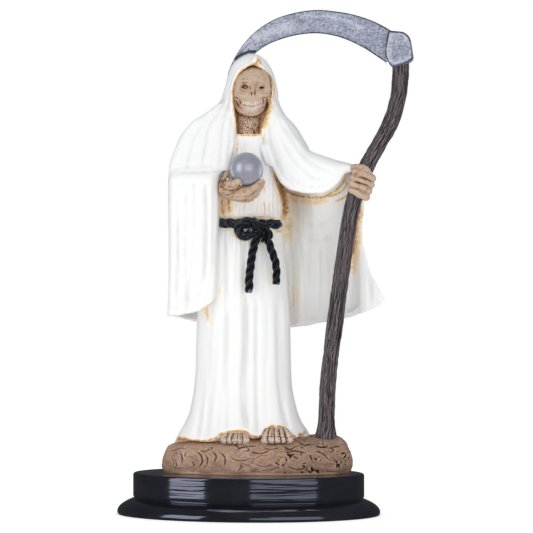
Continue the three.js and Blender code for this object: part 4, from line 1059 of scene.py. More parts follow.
def make_cloak(context):
    rim = strand(hood_rim(), 20, 160, evenly(0.95))
    shells = [
        tube(300, 190, cape_wall),
        tube(160, 160, sleeve_wall),
        tube(120, 90, rows_wall(LEFT_SHOULDER, 0.24)),
        tube(120, 90, rows_wall(RIGHT_SHOULDER, 0.78)),
        tube(140, 140, arm_wall),
        tube(160, 120, rows_wall(HOOD_ROWS, 0.92)),
        lump((3.8, -7.2, 185.4), (1.5, 1.2, 2.2)),
        lump((-13.5, 8, 157.5), (4.5, 5, 5)),
        lump((12.5, 8, 157.5), (4.5, 5, 5)),
        strand([placed(*row) for row in LAP_ROUTE], 20, 60, evenly(1.7)),
        strand([placed(*row) for row in GAP_ROUTE], 20, 60, evenly(2.8)),
    ]
    mesh = fused(shells, voxel=0.62, relax=3, cutters=[tube(120, 100, opening_wall)], edging=[rim])
    points, normals = gauged(mesh)
    points = sweep(points, normals, CLOAK_FOLDS, far=1)
    points = sweep(points, normals, WING_CREASES, near=-4)
    fan = np.degrees(np.arctan2(points[:, 0] - 2, 196 - points[:, 2]))
    draped = joined(fan * 0.55, points[:, 1] * 0.3, points[:, 2] * 0.03)
    hung = points * [1, 1, 0.06]
    high = step(points[:, 2], 128, 142)
    low_lines = cloudy(hung, 1.3, 6) + 0.8 * cloudy(hung, 2.9, 16)
    lines = mix(low_lines, cloudy(draped, 0.9, 7) + cloudy(draped, 2, 17), high)
    pinch = 1 - step(np.abs(cloudy(mix(hung, draped * 1.3, high[:, None]), 2.2, 27)), 0, 0.3)
    aside = step(np.abs(normals[:, 0]), 0.5, 0.9) + 0.5 * step(normals[:, 1], 0.4, 0.8)
    push = 0.05 * cloudy(points, 3.5, 2) + 0.11 * lines - 0.13 * pinch + 0.3 * aside * cloudy(hung, 4.2, 28)
    points, normals = raised(mesh, points, normals, push)
    flat = seen(points)
    facing = step(-normals[:, 1], -0.35, 0.2)
    # amber wash, with painted shade inside the hood, under the arm's fold and in the wedge beside the gown
    wash_and_shade = marked(flat, CLOAK_WASH_AND_SHADE) * facing * (1 - step(points[:, 1], 0, 2))
    wash_and_shade = np.maximum(wash_and_shade, marked(flat, DEEP_WASH_AND_SHADE) * facing * step(points[:, 1], -9.5, -6))
    # painted shade with the wash over the inside of the hood, stronger on its left
    within = sides(OPENING_ROWS, points[:, 2])
    hood_inside_wash_and_shade = (points[:, 0] > within[0] - 0.4) * (points[:, 0] < within[1] + 0.4) * step(points[:, 2], 149, 151)
    hood_inside_wash_and_shade = hood_inside_wash_and_shade * step(points[:, 1], -9.5, -7.5) * (1 - step(points[:, 1], 2, 4))
    hood_inside_wash_and_shade = hood_inside_wash_and_shade * (1 - step(points[:, 2], 184, 185))
    wash_and_shade = np.maximum(wash_and_shade, mix(0.95, 0.6, step(points[:, 0], 2, 9)) * hood_inside_wash_and_shade)
    # painted shade: pinkish grey on the front of the cape, low under the held-out arm
    rose = step(84 - flat[:, 1], 0, 14) * step(points[:, 1], 0, 5) * facing
    painted(mesh, wash=wash_and_shade, cavity=hollowness(mesh), rose=rose)
    shown("cloak", mesh, "figure", robe_paint())


# Bones


def skull_wall(angle, share):
    """Egg of the head, its vertices crowded towards the face."""
    height = mix(160, 183.2, 0.5 - 0.5 * np.cos(math.pi * share))
    angle = angle - 0.6 * np.cos(angle)
    left, right, front = sides(SKULL_ROWS, height)
    x, y = oval(angle, left, right, front, 4, 0.95)
    return joined(x, y, height)


def spot(flat, x, height, wide, tall):
    """Soft round mark seen from the front."""
    return np.exp(-(((flat[:, 0] - x) / wide) ** 2) - ((flat[:, 1] - height) / tall) ** 2)


def spots(flat, rows):
    """Sum of soft round marks."""
    return sum(strength * spot(flat, *row) for strength, *row in rows)


def make_skull(context):
    mesh = gathered([tube(290, 250, skull_wall)])
    points, _ = gauged(mesh)
    flat = seen(points)
    x, height = flat.T
    face = step(-points[:, 1], 1, 7)
    creases = marked(flat, FACE_CREASES, 2)
    mouth = step(x, -3.2, -2.4) * (1 - step(x, 5.8, 6.6))
    level = height - 165.5 - 0.065 * (x - 1.2) ** 2
    rows = mouth * step(level, -3, -1.2) * (1 - step(level, 0.9, 2.4))
    bent = 5.6 * np.arcsin(np.clip((x - 1.6) / 5.6, -0.99, 0.99))
    gaps = np.cos(math.pi * (bent / 1.12 + 0.16 * np.sin(bent * 2.1) + 0.12 * np.sign(level))) ** 8
    bite = bump(level, 0, 0.2)
    teeth = rows * (0.4 - 0.3 * gaps - 0.4 * bite)
    push = face * (spots(flat, FACE_FORMS) + teeth - creases)
    wrinkle = cloudy(points * [0.8, 1, 1.2], 0.6, 9)
    push = push + 0.05 * cloudy(points, 0.8, 3) + 0.08 * cloudy(points, 2.2, 6) + 0.04 * wrinkle
    points[:, 1] -= push
    moved(mesh, points)
    rim = 0.34 * (1 - 0.5 * step(x, 2, 5.5))
    # umber in creases and between the teeth, with painted shade in the sockets, cheek hollows and under the jaw, and a
    # painted highlight in the left eye
    dark = spots(flat, FACE_UMBER_AND_SHADE) + rim * rows * np.maximum(gaps * 0.7, bite) + 0.9 * creases - 0.14 - 0.05 * wrinkle
    painted(mesh, wash=np.clip(dark * face, -0.2, 1), cavity=hollowness(mesh, 6, 0.15), teeth=rows * face)
    shown("skull", mesh, "figure", bone_paint())

    def neck_wall(angle, share):
        nx, ny = oval(angle, -5.2, 5.9, -7.8, 5, 0.9)
        return joined(nx, ny, mix(150.6, 163, share))

    mesh = gathered([tube(200, 120, neck_wall)])
    points, normals = gauged(mesh)
    pits = 1 - step(np.abs(cloudy(points, 0.85, 8)), 0.03, 0.22)
    pits = pits * step(cloudy(points, 1.2, 18), -0.6, -0.1)
    push = 0.12 * cloudy(points, 0.5, 2) - 0.3 * pits
    moved(mesh, points + normals * push[:, None])
    # painted shade: darker under the jaw and down both sides of the neck, inside the hood
    shade = 0.5 * step(points[:, 2], 159, 161.6) + 0.35 * step(np.abs(points[:, 0] - 0.4), 4.2, 5.4)
    painted(mesh, wash=np.clip(0.1 + 0.75 * pits + shade, 0, 1), cavity=hollowness(mesh, 4, 0.15), teeth=0 * pits)
    shown("neck", mesh, "figure", bone_paint())


def bony(radius, joints, tip=1.0):
    """Radius of a finger that thickens at its joints."""

    def reach(share, angle, length):
        knuckles = sum(0.16 * bump(share, joint, 0.07) for joint in joints)
        return rounded(radius, share, length, tip) * (0.94 + knuckles)

    return reach


def make_ball_hand(context):
    centre = np.array(BALL_CENTRE)
    radius = carved(context.scene.statuette_sizes.ball_diameter) / 2
    shells = []
    for route, (thick, thin) in zip(HAND_ROUTES, HAND_SIZES):
        near = [list(centre + np.array(share) * radius) for share in route]

        def reach(share, angle, length, thick=thick, thin=thin):
            return rounded(thin, share, length, 1.1) / thin * mix(thick, thin, step(share, 0.45, 0.98))

        shells.append(strand(near, 24, 70, reach))
    palm = centre + np.array([-0.71, 0.08, -1.21]) * radius
    shells.append(lump(palm, (7.2, 5, 2.9)))
    wrist = [[-17, -7, 131], list(centre + np.array([-1.45, 1.0, -1.1]) * radius), list(palm)]
    shells.append(strand(wrist, 24, 40, evenly(3.2)))
    seat = lump(BALL_CENTRE, [radius + 0.12] * 3, 32)
    mesh = fused(shells, voxel=0.26, relax=2, cutters=[seat])
    points, normals = gauged(mesh)
    points = sweep(points, normals, HAND_CREASES)
    push = 0.1 * cloudy(points, 1.2, 1) + 0.09 * cloudy(points, 0.55, 7)
    points, normals = raised(mesh, points, normals, push)
    flat = seen(points)
    dark = 1.4 * marked(flat, HAND_CREASES) + 0.5 * spot(flat, -11.6, 131.5, 1.2, 3)
    painted(mesh, wash=np.clip(dark + 0.14, 0, 1), cavity=hollowness(mesh, 8, 0.2), teeth=np.zeros(len(points)))
    shown("ball_hand", mesh, "figure", bone_paint())


def make_staff_hand(context):
    shells = []
    for route in FIST_ROUTES:
        shells.append(strand([placed(*row) for row in route], 22, 70, bony(1.66, (0.3, 0.6, 0.86), 1.2)))
    shells.append(strand([placed(*row) for row in THUMB_ROUTE], 24, 70, bony(1.75, (0.35, 0.7), 1.1)))
    shells.append(lump(placed(50.4, 130.6, -1.6), (4.6, 3.4, 6.2)))
    shells.append(lump(placed(51, 130.6, -9), (4.2, 3.6, 5.8)))
    shells.append(lump(placed(51.6, 134.6, -6.4), (2.6, 3.2, 2.4)))
    shells.append(lump(placed(49.6, 134.6, -0.6), (3.6, 3.2, 2.8)))
    mesh = fused(shells, voxel=0.24, relax=1)
    points, normals = gauged(mesh)
    points = sweep(points, normals, FIST_CREASES)
    push = 0.1 * cloudy(points, 1.2, 11) + 0.09 * cloudy(points, 0.55, 12)
    points, normals = raised(mesh, points, normals, push)
    dark = 0.8 * marked(seen(points), FIST_CREASES) * step(-normals[:, 1], -0.2, 0.3)
    painted(mesh, wash=np.clip(dark, 0, 1), cavity=0.55 * hollowness(mesh, 8, 0.2), teeth=np.zeros(len(points)))
    shown("staff_hand", mesh, "figure", bone_paint())


def make_feet(context):
    shells = []
    for heel, first, last, top, (inner, outer) in FEET:
        for k in range(5):
            share = k / 4
            x = mix(first, last, share)
            tip = [x, -15.2 - mix(inner, outer, share), 14.2]
            knuckle = [mix(heel, x, 0.86), -13.6, 13.4 + top * 0.66]
            instep = [mix(heel, x, 0.62), -8, 13.4 + top]
            joints = (0.3, 0.52, 0.74, 0.92)

            def reach(share, angle, length, joints=joints):
                notch = sum(0.14 * bump(share, joint, 0.016) for joint in joints)
                square = 1 + 0.1 * np.cos(4 * angle)
                return rounded(1.62, share, length, 0.55) * (1 - notch) * square

            shells.append(strand([instep, knuckle, tip], 22, 110, reach))
    mesh = fused(shells, voxel=0.2, relax=0)
    points, normals = gauged(mesh)
    moved(mesh, points + normals * (0.06 * cloudy(points, 0.7, 5))[:, None])
    hollow = hollowness(mesh, 5, 0.1)
    painted(mesh, wash=np.clip(0.2 + 1.1 * hollow, 0, 1), cavity=hollow, teeth=0 * hollow + 0.36)
    shown("feet", mesh, "figure", bone_paint())


# Belt, mound, scythe, ball and plinth


def laid_rope(route, radius, pitch, phase=0.0):
    """Three strands wound round one another along a route."""
    length = framed(route, 60)[3]
    along = max(40, int(length * 5))
    centre, side, over, length = framed(route, along)
    place = np.arange(along + 1) / along
    fade = np.sqrt(np.clip(np.minimum(place, 1 - place) * length / radius / 0.4, 0.02, 1))
    shells = []
    for k in range(3):
        turn = TURN * (k / 3 + place * length / pitch) + phase
        out = np.cos(turn)[:, None] * side + np.sin(turn)[:, None] * over
        wound = centre + out * (0.52 * radius * fade)[:, None]
        shells.append(strand(wound[::4], 16, along, evenly(0.54 * radius)))
    return shells


def make_belt(context):
    radius = carved(context.scene.statuette_sizes.rope_diameter) / 2
    shells = []
    for route, share, pitch, phase in ROPES:
        shells += laid_rope(route, radius * share, pitch, phase)
    mesh = gathered(shells)
    painted(mesh, cavity=hollowness(mesh, 3, 0.3))
    shown("rope_belt", mesh, "figure", rope_paint())


def mound_wall(angle, share):
    """Loaf of rock: upright sides that round over into an uneven top."""
    angle = angle - 0.35 * np.cos(angle)
    share = share**1.9
    rise = np.sin(share * math.pi / 2) ** 0.42
    spread = np.cos(share * math.pi / 2) ** 0.42
    x, y = oval(angle, *MOUND_PLAN, 0.86)
    rough = 1 + 0.012 * np.sin(5 * angle + 1) + 0.008 * np.sin(11 * angle + 2)
    spread = spread * rough * mix(0.975, 1, step(rise, 0, 0.25))
    x, y = mix(2.8, x, spread), mix(6, y, spread)
    swell = (read(MOUND_TOP, x) - 13.4) * step(y, -15.8, -12.6) * (1 - step(y, 16, 24))
    return joined(x, y, mix(-0.28, 13.4, rise) + swell * step(rise, 0.62, 0.86))


def make_mound(context):
    mesh = gathered([tube(460, 190, mound_wall)])
    points, normals = gauged(mesh)
    flat = seen(points)
    up = step(points[:, 2], 0.1, 0.8)
    facing = step(-normals[:, 1], -0.3, 0.3)
    creases = marked(flat, MOUND_CREASES, 2) * facing
    lumps = 0.55 * cloudy(points, 6, 1) + 0.3 * cloudy(points * [0.6, 0.6, 1.3], 2.4, 2) + 0.09 * cloudy(points, 0.9, 3)
    ribs = cloudy(joined(points[:, 0] * 0.35 + flat[:, 1] * 0.5, points[:, 1] * 0.3, flat[:, 1]), 1.1, 24)
    lumps = lumps + 0.16 * ribs * step(cloudy(points, 5, 25), -0.1, 0.4)
    bend = points + 1.2 * joined(cloudy(points, 3, 21), cloudy(points, 3, 22), cloudy(points, 3, 23))
    crack = 1 - step(np.abs(cloudy(bend * [0.6, 0.6, 1.5], 5.5, 4)), 0.0, 0.06)
    crack = crack * step(cloudy(points, 7, 5), -0.3, 0.2)
    fine = 1 - step(np.abs(cloudy(bend * [0.5, 0.5, 1.3], 2.6, 14)), 0.0, 0.07)
    crack = np.maximum(crack, 0.6 * fine * step(cloudy(points, 6, 15), -0.1, 0.3)) * (1 - spot(flat, 33, 9, 5, 5))
    rocky = step(flat[:, 0], 8, 20) * step(10.5 - flat[:, 1], 0, 3)
    pits = step(cloudy(bend * [1, 1, 1.3], 1.25, 6), 0.3, 0.7) * step(cloudy(points, 4, 7), -0.25, 0.15)
    pits = pits * np.maximum(rocky, 0.25 * step(points[:, 1], 2, 8))
    push = up * (lumps - 0.8 * creases - 0.4 * crack - 0.7 * pits)
    moved(mesh, points + normals * push[:, None])
    dark = np.clip(0.9 * creases + 0.4 * crack + 0.65 * pits, 0, 1) * up
    # painted shadow along the foot where the mound meets the plinth; the mound is also painted darker towards its right
    dark = np.maximum(dark, 0.7 * (1 - step(points[:, 2], 0.15, 0.7))) + 0.32 * step(flat[:, 0], 6, 26)
    painted(mesh, wash=dark, cavity=hollowness(mesh, 8, 0.25))
    shown("mound", mesh, "figure", earth_paint())


def make_snath(context):
    radius = carved(context.scene.statuette_sizes.snath_diameter) / 2
    foot = radius * SNATH_FOOT
    count = 760
    grain_stretch = 14
    route = [list(row) for row in SNATH_ROUTE]
    route[0][2] -= 1.2
    route[-1][2] += 2

    def reach(share, angle, length):
        knotty = 1 + 0.02 * np.sin(share * 47) + 0.018 * np.sin(share * 23 + 2 * angle)
        flare = 1 + 0.3 * np.exp(-share * 60) * (1 + 0.5 * np.cos(3 * angle + 1))
        return mix(foot, radius, step(share, 0, 0.07)) * knotty * flare

    mesh = gathered([strand(route, 84, count, reach)])
    points, normals = gauged(mesh)
    centre, _, _, length = framed(route, count)
    climb = (points[:, 2] - centre[0, 2]) / (centre[-1, 2] - centre[0, 2])
    ring = np.clip(np.rint(climb * count).astype(int), 0, count)
    out = normals * radius
    grain = joined(out[:, 0], out[:, 1], ring * length / count / grain_stretch + 0.12 * out[:, 2])
    sway = 0.25 * cloudy(points * [0.3, 0.3, 0.3], 1.6, 31)[:, None] * [1, 1, 0]
    coarse = cloudy(grain + sway, 0.85, 32)
    fine = cloudy(grain * [1, 1, 2] + 2 * sway, 0.45, 33)
    thread = cloudy(grain * [1, 1, 2.4] + 3 * sway, 0.28, 34)
    furrow = step(-coarse, 0.1, 0.6) * 0.28 + step(-fine, 0.05, 0.6) * 0.22 + step(-thread, 0.1, 0.6) * 0.12
    push = 0.16 * coarse + 0.12 * fine + 0.07 * thread - furrow
    moved(mesh, points + normals * push[:, None])
    painted(mesh, wash=np.clip(furrow * 2, 0, 1), cavity=hollowness(mesh, 5, 0.15))
    shown("snath", mesh, "scythe", wood_paint())


def make_blade(context):
    sizes = context.scene.statuette_sizes
    thick = carved(sizes.blade_thickness)
    width = carved(sizes.blade_root)
    edge = 0.35
    count = 260
    rows = np.array(BLADE_ROUTE, float)
    centre = smooth_route(rows[:, :3], count + 1)
    route_share = np.linspace(0, 1, count + 1)
    run = run_along(rows[:, :3])
    widths = joined(run / run[-1], rows[:, 3])
    tangent = headings(centre)
    outwards = joined(tangent[:, 2], 0 * tangent[:, 1], -tangent[:, 0])
    outwards /= np.linalg.norm(outwards, axis=1)[:, None]

    def wall(angle, share):
        ring = np.rint(share * count).astype(int)
        across = np.sign(np.cos(angle)) * np.abs(np.cos(angle)) ** 0.55
        side = np.sign(np.sin(angle)) * np.abs(np.sin(angle)) ** 0.3
        wide = read(widths, route_share[ring]) * width
        bevel = np.clip((across + 1) * wide / 2 / 1.5, 0, 1)
        rim = 1 - 0.22 * step(across, 0.9, 1)
        half = mix(edge, thick, bevel) / 2 * rim
        return centre[ring] + outwards[ring] * (across * wide / 2)[:, None] + np.outer(side * half, [0, 1, 0])

    plate = gathered([tube(120, count, wall)])
    points, normals = gauged(plate)
    push = 0.1 * cloudy(points, 4, 41) + 0.07 * cloudy(points * [0.5, 1, 1], 1.3, 42)
    points, normals = raised(plate, points, normals, push * step(np.abs(normals[:, 1]), 0.5, 0.9))
    gaps = points[:, None, [0, 2]] - centre[None, ::4, [0, 2]]
    near = 4 * np.argmin((gaps**2).sum(axis=2), axis=1)
    half_width = read(widths, route_share[near]) * width / 2
    across = np.abs(((points - centre[near]) * outwards[near]).sum(axis=1)) / half_width
    # darker along the edges, with a painted highlight in a line just inside them, down the middle and along the drawn
    # bands
    rim = np.maximum(step(1 - np.abs(normals[:, 1]), 0.25, 0.7), step(across, 0.86, 0.96))
    rim = rim - 0.35 * bump(across, 0.78, 0.06) - 0.25 * bump(across, 0.1, 0.35)
    seam = marked(seen(points), BLADE_MARKS, 1)
    wash = 0.08 + np.maximum(rim, seam) - marked(seen(points), BLADE_PAINTED_HIGHLIGHT)
    painted(plate, cavity=hollowness(plate, 6, 0.3), wash=wash)
    shown("blade", plate, "scythe", silver_paint())

    shell = bmesh.new()
    depth = 9.0
    corners = [shell.verts.new((x, 2 - depth / 2, height)) for x, height in FERRULE_SHAPE]
    face = shell.faces.new(corners)
    grown = bmesh.ops.extrude_face_region(shell, geom=[face])
    lifted = [item for item in grown["geom"] if isinstance(item, bmesh.types.BMVert)]
    bmesh.ops.translate(shell, vec=Vector((0, depth, 0)), verts=lifted)
    bmesh.ops.recalc_face_normals(shell, faces=shell.faces)
    bevel = {"offset": 1.25, "segments": 3, "profile": 0.5, "affect": "EDGES", "material": -1, "clamp_overlap": True}
    bmesh.ops.bevel(shell, geom=shell.edges[:], **bevel)
    bmesh.ops.triangulate(shell, faces=shell.faces)
    bmesh.ops.subdivide_edges(shell, edges=shell.edges, cuts=3, use_grid_fill=True)
    block = gathered([shell])
    points, normals = gauged(block)
    moved(block, points + normals * (0.06 * cloudy(points, 2.2, 43) + 0.03 * cloudy(points, 0.9, 44))[:, None])
    outer = np.array(FERRULE_SHAPE + FERRULE_SHAPE[:1])
    middle = np.mean(FERRULE_SHAPE, axis=0)
    inner = middle + (outer - middle) * 0.8
    plain = points[:, [0, 2]]
    front = step(np.abs(normals[:, 1]), 0.2, 0.45)
    edges = marked(plain, [(0.8, 1, *outer.ravel())], 0.01)
    # painted highlight: a lighter line inside the dark outline, where the chamfers catch the light
    panel = marked(plain, [(0.35, 1, *inner.ravel())], 0.01)
    painted(block, cavity=hollowness(block, 3, 0.3), wash=0.12 + 1.8 * front * edges - 0.5 * panel)
    shown("ferrule", block, "scythe", silver_paint())


def make_ball(context):
    radius = carved(context.scene.statuette_sizes.ball_diameter) / 2
    mesh = gathered([lump(BALL_CENTRE, [radius] * 3, 64)])
    points, normals = gauged(mesh)
    moved(mesh, points + normals * (0.02 * cloudy(points, 2.5, 51))[:, None])
    painted(mesh, cavity=np.zeros(len(points)))
    shown("silver_ball", mesh, "ball", ball_paint())
    beads = gathered([lump(place, size, 12) for place, size in GLUE])
    painted(beads, cavity=np.zeros(len(beads.vertices)))
    shown("glue", beads, "", glue_resin())


def make_plinth(context):
    """The profile is turned once round and then pressed to an oval."""
    sizes = context.scene.statuette_sizes
    long, deep, high = sizes.plinth_length, sizes.plinth_depth, sizes.plinth_height
    flange, over = sizes.flange_height, sizes.flange_overhang
    foot, edge, groove, hub = 0.0013, 0.001, 0.0004, 0.0001
    radius = long / 2
    rim = radius + over
    profile = [(hub, 0), (rim - 0.0012, 0)]
    profile += [
        (rim - foot * 0.6 * (1 - math.sin(k / 6 * math.pi / 2)), foot * (1 - math.cos(k / 6 * math.pi / 2)))
        for k in range(1, 7)
    ]
    for k in range(1, 25):
        t = k / 24
        reach = (1 - t) ** 2 * rim + 2 * t * (1 - t) * rim + t * t * radius
        profile.append((reach, (1 - t) ** 2 * foot + 2 * t * (1 - t) * flange * 0.62 + t * t * flange))
    profile += [(radius - groove, flange + 0.0001), (radius - groove, flange + 0.0006), (radius, flange + 0.001)]
    profile += [(radius, mix(flange + 0.001, high - edge, k / 12)) for k in range(1, 13)]
    profile += [
        (radius - edge * (1 - math.cos(k / 8 * math.pi / 2)), high - edge * (1 - math.sin(k / 8 * math.pi / 2)))
        for k in range(1, 9)
    ]
    profile += [(mix(radius - edge, hub, k / 16), high) for k in range(1, 17)]
    shell = bmesh.new()
    verts = [shell.verts.new((x, 0, z)) for x, z in profile]
    edges = [shell.edges.new(pair) for pair in zip(verts, verts[1:])]
    bmesh.ops.spin(
        shell, geom=verts + edges, cent=(0, 0, 0), axis=(0, 0, 1), dvec=(0, 0, 0), angle=TURN, steps=240, use_merge=True
    )
    bmesh.ops.remove_doubles(shell, verts=shell.verts, dist=0.00002)
    rims = [item for item in shell.edges if item.is_boundary]
    bmesh.ops.holes_fill(shell, edges=rims, sides=0)
    bmesh.ops.recalc_face_normals(shell, faces=shell.faces)
    for vert in shell.verts:
        reach = math.hypot(vert.co.x, vert.co.y)
        offset = min((long - deep) / 2, reach * (long - deep) / long)
        vert.co.y *= (reach - offset) / reach if reach > 1e-6 else 1
    mesh = gathered([shell])
    points, normals = gauged(mesh)
    painted(mesh, cavity=np.zeros(len(points)), drag=step(points[:, 0], -0.012, 0.006))
    shown("lacquered_plinth", mesh, "plinth", lacquer(), metres=True)


# Stage


# Each lamp: azimuth, distance and height of its stand, the point it faces, its size, its strength, and whether
# gloss mirrors it. The two mirrored ones give the plinth its bright strips.
LAMPS = {
    "left_softbox": ((-45, 1.3, 0.44), (0, 0, 0.44), (0.7, 1.18), 1.3, True),
    "right_softbox": ((25, 1.5, 0.485), (0, 0, 0.485), (1.4, 1.21), 0.6, True),
    "front_fill": ((14, 1.4, 0.13), (0.01, 0, 0.13), (1.3, 0.22), 5.2, False),
    "top_softbox": ((0, 0.3, 1.5), (0, 0, 0.1), (1.6, 1.4), 0.5, False),
    "back_softbox": ((170, 1.6, 0.8), (0, 0, 0.1), (1.6, 1.0), 1.2, False),
}


def lamp(name, stand, aim, size, strength, mirrored):
    """Soft rectangular light; azimuth 0 is in front and turns towards the figure's left hand."""
    azimuth, distance, height = stand
    turn = math.radians(azimuth)
    place = Vector((math.sin(turn) * distance, -math.cos(turn) * distance, height))
    data = bpy.data.lights.new(name, "AREA")
    data.shape = "RECTANGLE"
    data.size, data.size_y = size
    data.energy = strength * size[0] * size[1] * math.pi
    light = fresh(name, data)
    light.location = place
    light.rotation_euler = (Vector(aim) - place).to_track_quat("-Z", "Y").to_euler()
    light.visible_camera = False
    light.visible_glossy = mirrored


def set_stage(context):
    scene = context.scene
    turn = math.radians(FRONT_AZIMUTH)
    back = Vector((math.sin(turn), -math.cos(turn), 0))
    right = Vector((math.cos(turn), math.sin(turn), 0))
    aim = right * FRONT_ACROSS / 1000 + Vector((0, 0, FRONT_HEIGHT / 1000 + FIGURE_LOW[2]))
    lens = bpy.data.cameras.new("front_view")
    lens.sensor_width = 36
    lens.lens = lens.sensor_width * FRONT_DISTANCE / (PICTURE_WIDTH * PIXEL)
    camera = fresh("front_view", lens)
    camera.location = aim + back * FRONT_DISTANCE / 1000
    camera.rotation_euler = (-back).to_track_quat("-Z", "Y").to_euler()
    scene.camera = camera

    shell = bmesh.new()
    bmesh.ops.create_circle(shell, cap_ends=True, segments=96, radius=0.55)
    sweep_floor = gathered([shell])
    sweep_floor.materials.append(stage_floor())
    floor = fresh("floor", sweep_floor)
    floor.visible_glossy = False

    world = bpy.data.worlds.new("white room")
    world.use_nodes = True
    scene.world = world
    tree = world.node_tree
    tree.nodes.clear()
    path = add(tree, "LightPath")
    seen_white = add(tree, "Background", {"Color": (1, 1, 1, 1), "Strength": 1.0})
    fill = add(tree, "Background", {"Color": (0.97, 0.98, 1, 1), "Strength": 0.63})
    dim = add(tree, "Background", {"Color": (0.93, 0.96, 1, 1), "Strength": 0.07})
    room = add(tree, "MixShader", {0: path.outputs["Is Glossy Ray"], 1: fill.outputs[0], 2: dim.outputs[0]})
    both = add(tree, "MixShader", {0: path.outputs["Is Camera Ray"], 1: room.outputs[0], 2: seen_white.outputs[0]})
    add(tree, "OutputWorld", {"Surface": both.outputs[0]})

    for name, settings in LAMPS.items():
        lamp(name, *settings)
    scene.view_settings.view_transform = "Standard"
    scene.view_settings.look = "None"


# Sizes, colours and operators


def measure(name, description, default, least):
    """A size that a user can change."""
    return FloatProperty(
        name=name, description=description, default=default, min=least, unit="LENGTH", subtype="DISTANCE"
    )


def coat(name, description, shade_hex):
    """A paint that a user can change, given as sRGB hex."""
    return FloatVectorProperty(
        name=name, description=description, default=linear(shade_hex), subtype="COLOR", size=3, min=0, max=1
    )


class StatuetteSizes(bpy.types.PropertyGroup):
    figure_height: measure("Figure height", "Mound's foot to the hood's crown", FIGURE_HIGH[2] - FIGURE_LOW[2], 0.02)
    ball_diameter: measure("Ball", "Diameter of the silver ball", BALL_HIGH[0] - BALL_LOW[0], 0.004)
    snath_diameter: measure("Snath", "Thickness of the scythe's pole", 0.0072, 0.002)
    blade_root: measure("Blade width", "Width of the blade where it leaves the ferrule", 0.0134, 0.004)
    blade_thickness: measure("Blade thickness", "Thickness of the blade's plate", 0.0026, 0.001)
    rope_diameter: measure("Rope", "Thickness of the rope round the waist", 0.0044, 0.001)
    plinth_length: measure(
        "Plinth length", "Length of the plinth's upper tier", PLINTH_HIGH[0] - PLINTH_LOW[0] - 2 * OVERHANG, 0.02
    )
    plinth_depth: measure(
        "Plinth depth", "Depth of the plinth's upper tier", PLINTH_HIGH[1] - PLINTH_LOW[1] - 2 * OVERHANG, 0.02
    )
    plinth_height: measure("Plinth height", "Height of the plinth", PLINTH_HIGH[2], 0.005)
    flange_height: measure("Flange height", "Height at which the flange meets the upper tier", 0.0072, 0.002)
    flange_overhang: measure("Flange overhang", "How far the flange stands out", OVERHANG, 0)


class StatuetteColours(bpy.types.PropertyGroup):
    robe: coat("Robe", "Paint of gown and cloak", "E9E9E8")
    wash: coat("Wash", "Amber wash in the folds", "C8935A")
    bone: coat("Bone", "Paint of skull, hands and feet", "B59A83")
    earth: coat("Earth", "Paint of the mound", "AB8A74")
    wood: coat("Snath", "Paint of the scythe's pole", "4E4346")
    silver: coat("Silver", "Flake paint of blade, ferrule and ball", "ABB0C5")
    rope: coat("Rope", "Paint of the rope belt", "101218")
    lacquer: coat("Lacquer", "Lacquer of the plinth", "07080A")


class STATUETTE_OT_set_stage(bpy.types.Operator):
    """Set floor, lights and camera"""

    bl_idname = "statuette.set_stage"
    bl_label = "Stage"

    def execute(self, context):
        set_stage(context)
        return {"FINISHED"}


class STATUETTE_OT_gown(bpy.types.Operator):
    """Carve the gown with its folds and stained hem"""

    bl_idname = "statuette.gown"
    bl_label = "Gown"

    def execute(self, context):
        make_gown(context)
        return {"FINISHED"}


class STATUETTE_OT_cloak(bpy.types.Operator):
    """Carve cape, hood and both sleeves"""

    bl_idname = "statuette.cloak"
    bl_label = "Cloak"

    def execute(self, context):
        make_cloak(context)
        return {"FINISHED"}


class STATUETTE_OT_skull(bpy.types.Operator):
    """Carve the skull and its neck"""

    bl_idname = "statuette.skull"
    bl_label = "Skull"

    def execute(self, context):
        make_skull(context)
        return {"FINISHED"}


class STATUETTE_OT_ball_hand(bpy.types.Operator):
    """Carve the hand under the ball"""

    bl_idname = "statuette.ball_hand"
    bl_label = "Ball hand"

    def execute(self, context):
        make_ball_hand(context)
        return {"FINISHED"}


class STATUETTE_OT_staff_hand(bpy.types.Operator):
    """Carve the hand round the snath"""

    bl_idname = "statuette.staff_hand"
    bl_label = "Staff hand"

    def execute(self, context):
        make_staff_hand(context)
        return {"FINISHED"}


class STATUETTE_OT_feet(bpy.types.Operator):
    """Carve both bare feet"""

    bl_idname = "statuette.feet"
    bl_label = "Feet"

    def execute(self, context):
        make_feet(context)
        return {"FINISHED"}


class STATUETTE_OT_belt(bpy.types.Operator):
    """Lay the rope belt, its knot and tails"""

    bl_idname = "statuette.belt"
    bl_label = "Rope belt"

    def execute(self, context):
        make_belt(context)
        return {"FINISHED"}


class STATUETTE_OT_mound(bpy.types.Operator):
    """Carve the rocky mound"""

    bl_idname = "statuette.mound"
    bl_label = "Mound"

    def execute(self, context):
        make_mound(context)
        return {"FINISHED"}


class STATUETTE_OT_snath(bpy.types.Operator):
    """Carve the scythe's pole"""

    bl_idname = "statuette.snath"
    bl_label = "Snath"

    def execute(self, context):
        make_snath(context)
        return {"FINISHED"}


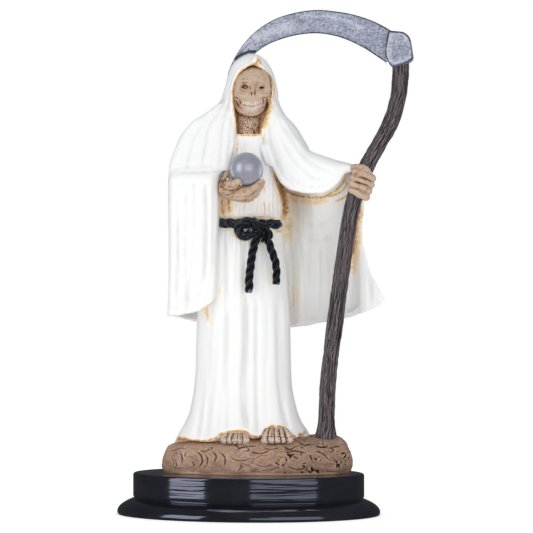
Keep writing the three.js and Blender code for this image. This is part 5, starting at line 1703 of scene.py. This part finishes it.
class STATUETTE_OT_blade(bpy.types.Operator):
    """Forge the blade and its ferrule"""

    bl_idname = "statuette.blade"
    bl_label = "Blade"

    def execute(self, context):
        make_blade(context)
        return {"FINISHED"}


class STATUETTE_OT_ball(bpy.types.Operator):
    """Turn the silver ball and its glue"""

    bl_idname = "statuette.ball"
    bl_label = "Ball"

    def execute(self, context):
        make_ball(context)
        return {"FINISHED"}


class STATUETTE_OT_plinth(bpy.types.Operator):
    """Turn the lacquered plinth"""

    bl_idname = "statuette.plinth"
    bl_label = "Plinth"

    def execute(self, context):
        make_plinth(context)
        return {"FINISHED"}


OPERATORS = [
    STATUETTE_OT_set_stage,
    STATUETTE_OT_gown,
    STATUETTE_OT_cloak,
    STATUETTE_OT_skull,
    STATUETTE_OT_ball_hand,
    STATUETTE_OT_staff_hand,
    STATUETTE_OT_feet,
    STATUETTE_OT_belt,
    STATUETTE_OT_mound,
    STATUETTE_OT_snath,
    STATUETTE_OT_blade,
    STATUETTE_OT_ball,
    STATUETTE_OT_plinth,
]


class STATUETTE_PT_panel(bpy.types.Panel):
    """Lists the sizes, the colours and every making step"""

    bl_label = "Santa muerte figure"
    bl_idname = "STATUETTE_PT_panel"
    bl_space_type = "VIEW_3D"
    bl_region_type = "UI"
    bl_category = "Statuette"

    def draw(self, context):
        for group in (context.scene.statuette_sizes, context.scene.statuette_colours):
            box = self.layout.box()
            for name in group.bl_rna.properties.keys():
                if name not in ("rna_type", "name"):
                    box.prop(group, name)
        for made in OPERATORS:
            self.layout.operator(made.bl_idname)


CLASSES = [StatuetteSizes, StatuetteColours, *OPERATORS, STATUETTE_PT_panel]


def register():
    for made in CLASSES:
        bpy.utils.register_class(made)
    bpy.types.Scene.statuette_sizes = PointerProperty(type=StatuetteSizes)
    bpy.types.Scene.statuette_colours = PointerProperty(type=StatuetteColours)


def unregister():
    del bpy.types.Scene.statuette_colours
    del bpy.types.Scene.statuette_sizes
    for made in reversed(CLASSES):
        bpy.utils.unregister_class(made)


def main():
    register()
    for made in OPERATORS:
        getattr(bpy.ops.statuette, made.bl_idname.split(".")[1])()


if __name__ == "__main__":
    main()
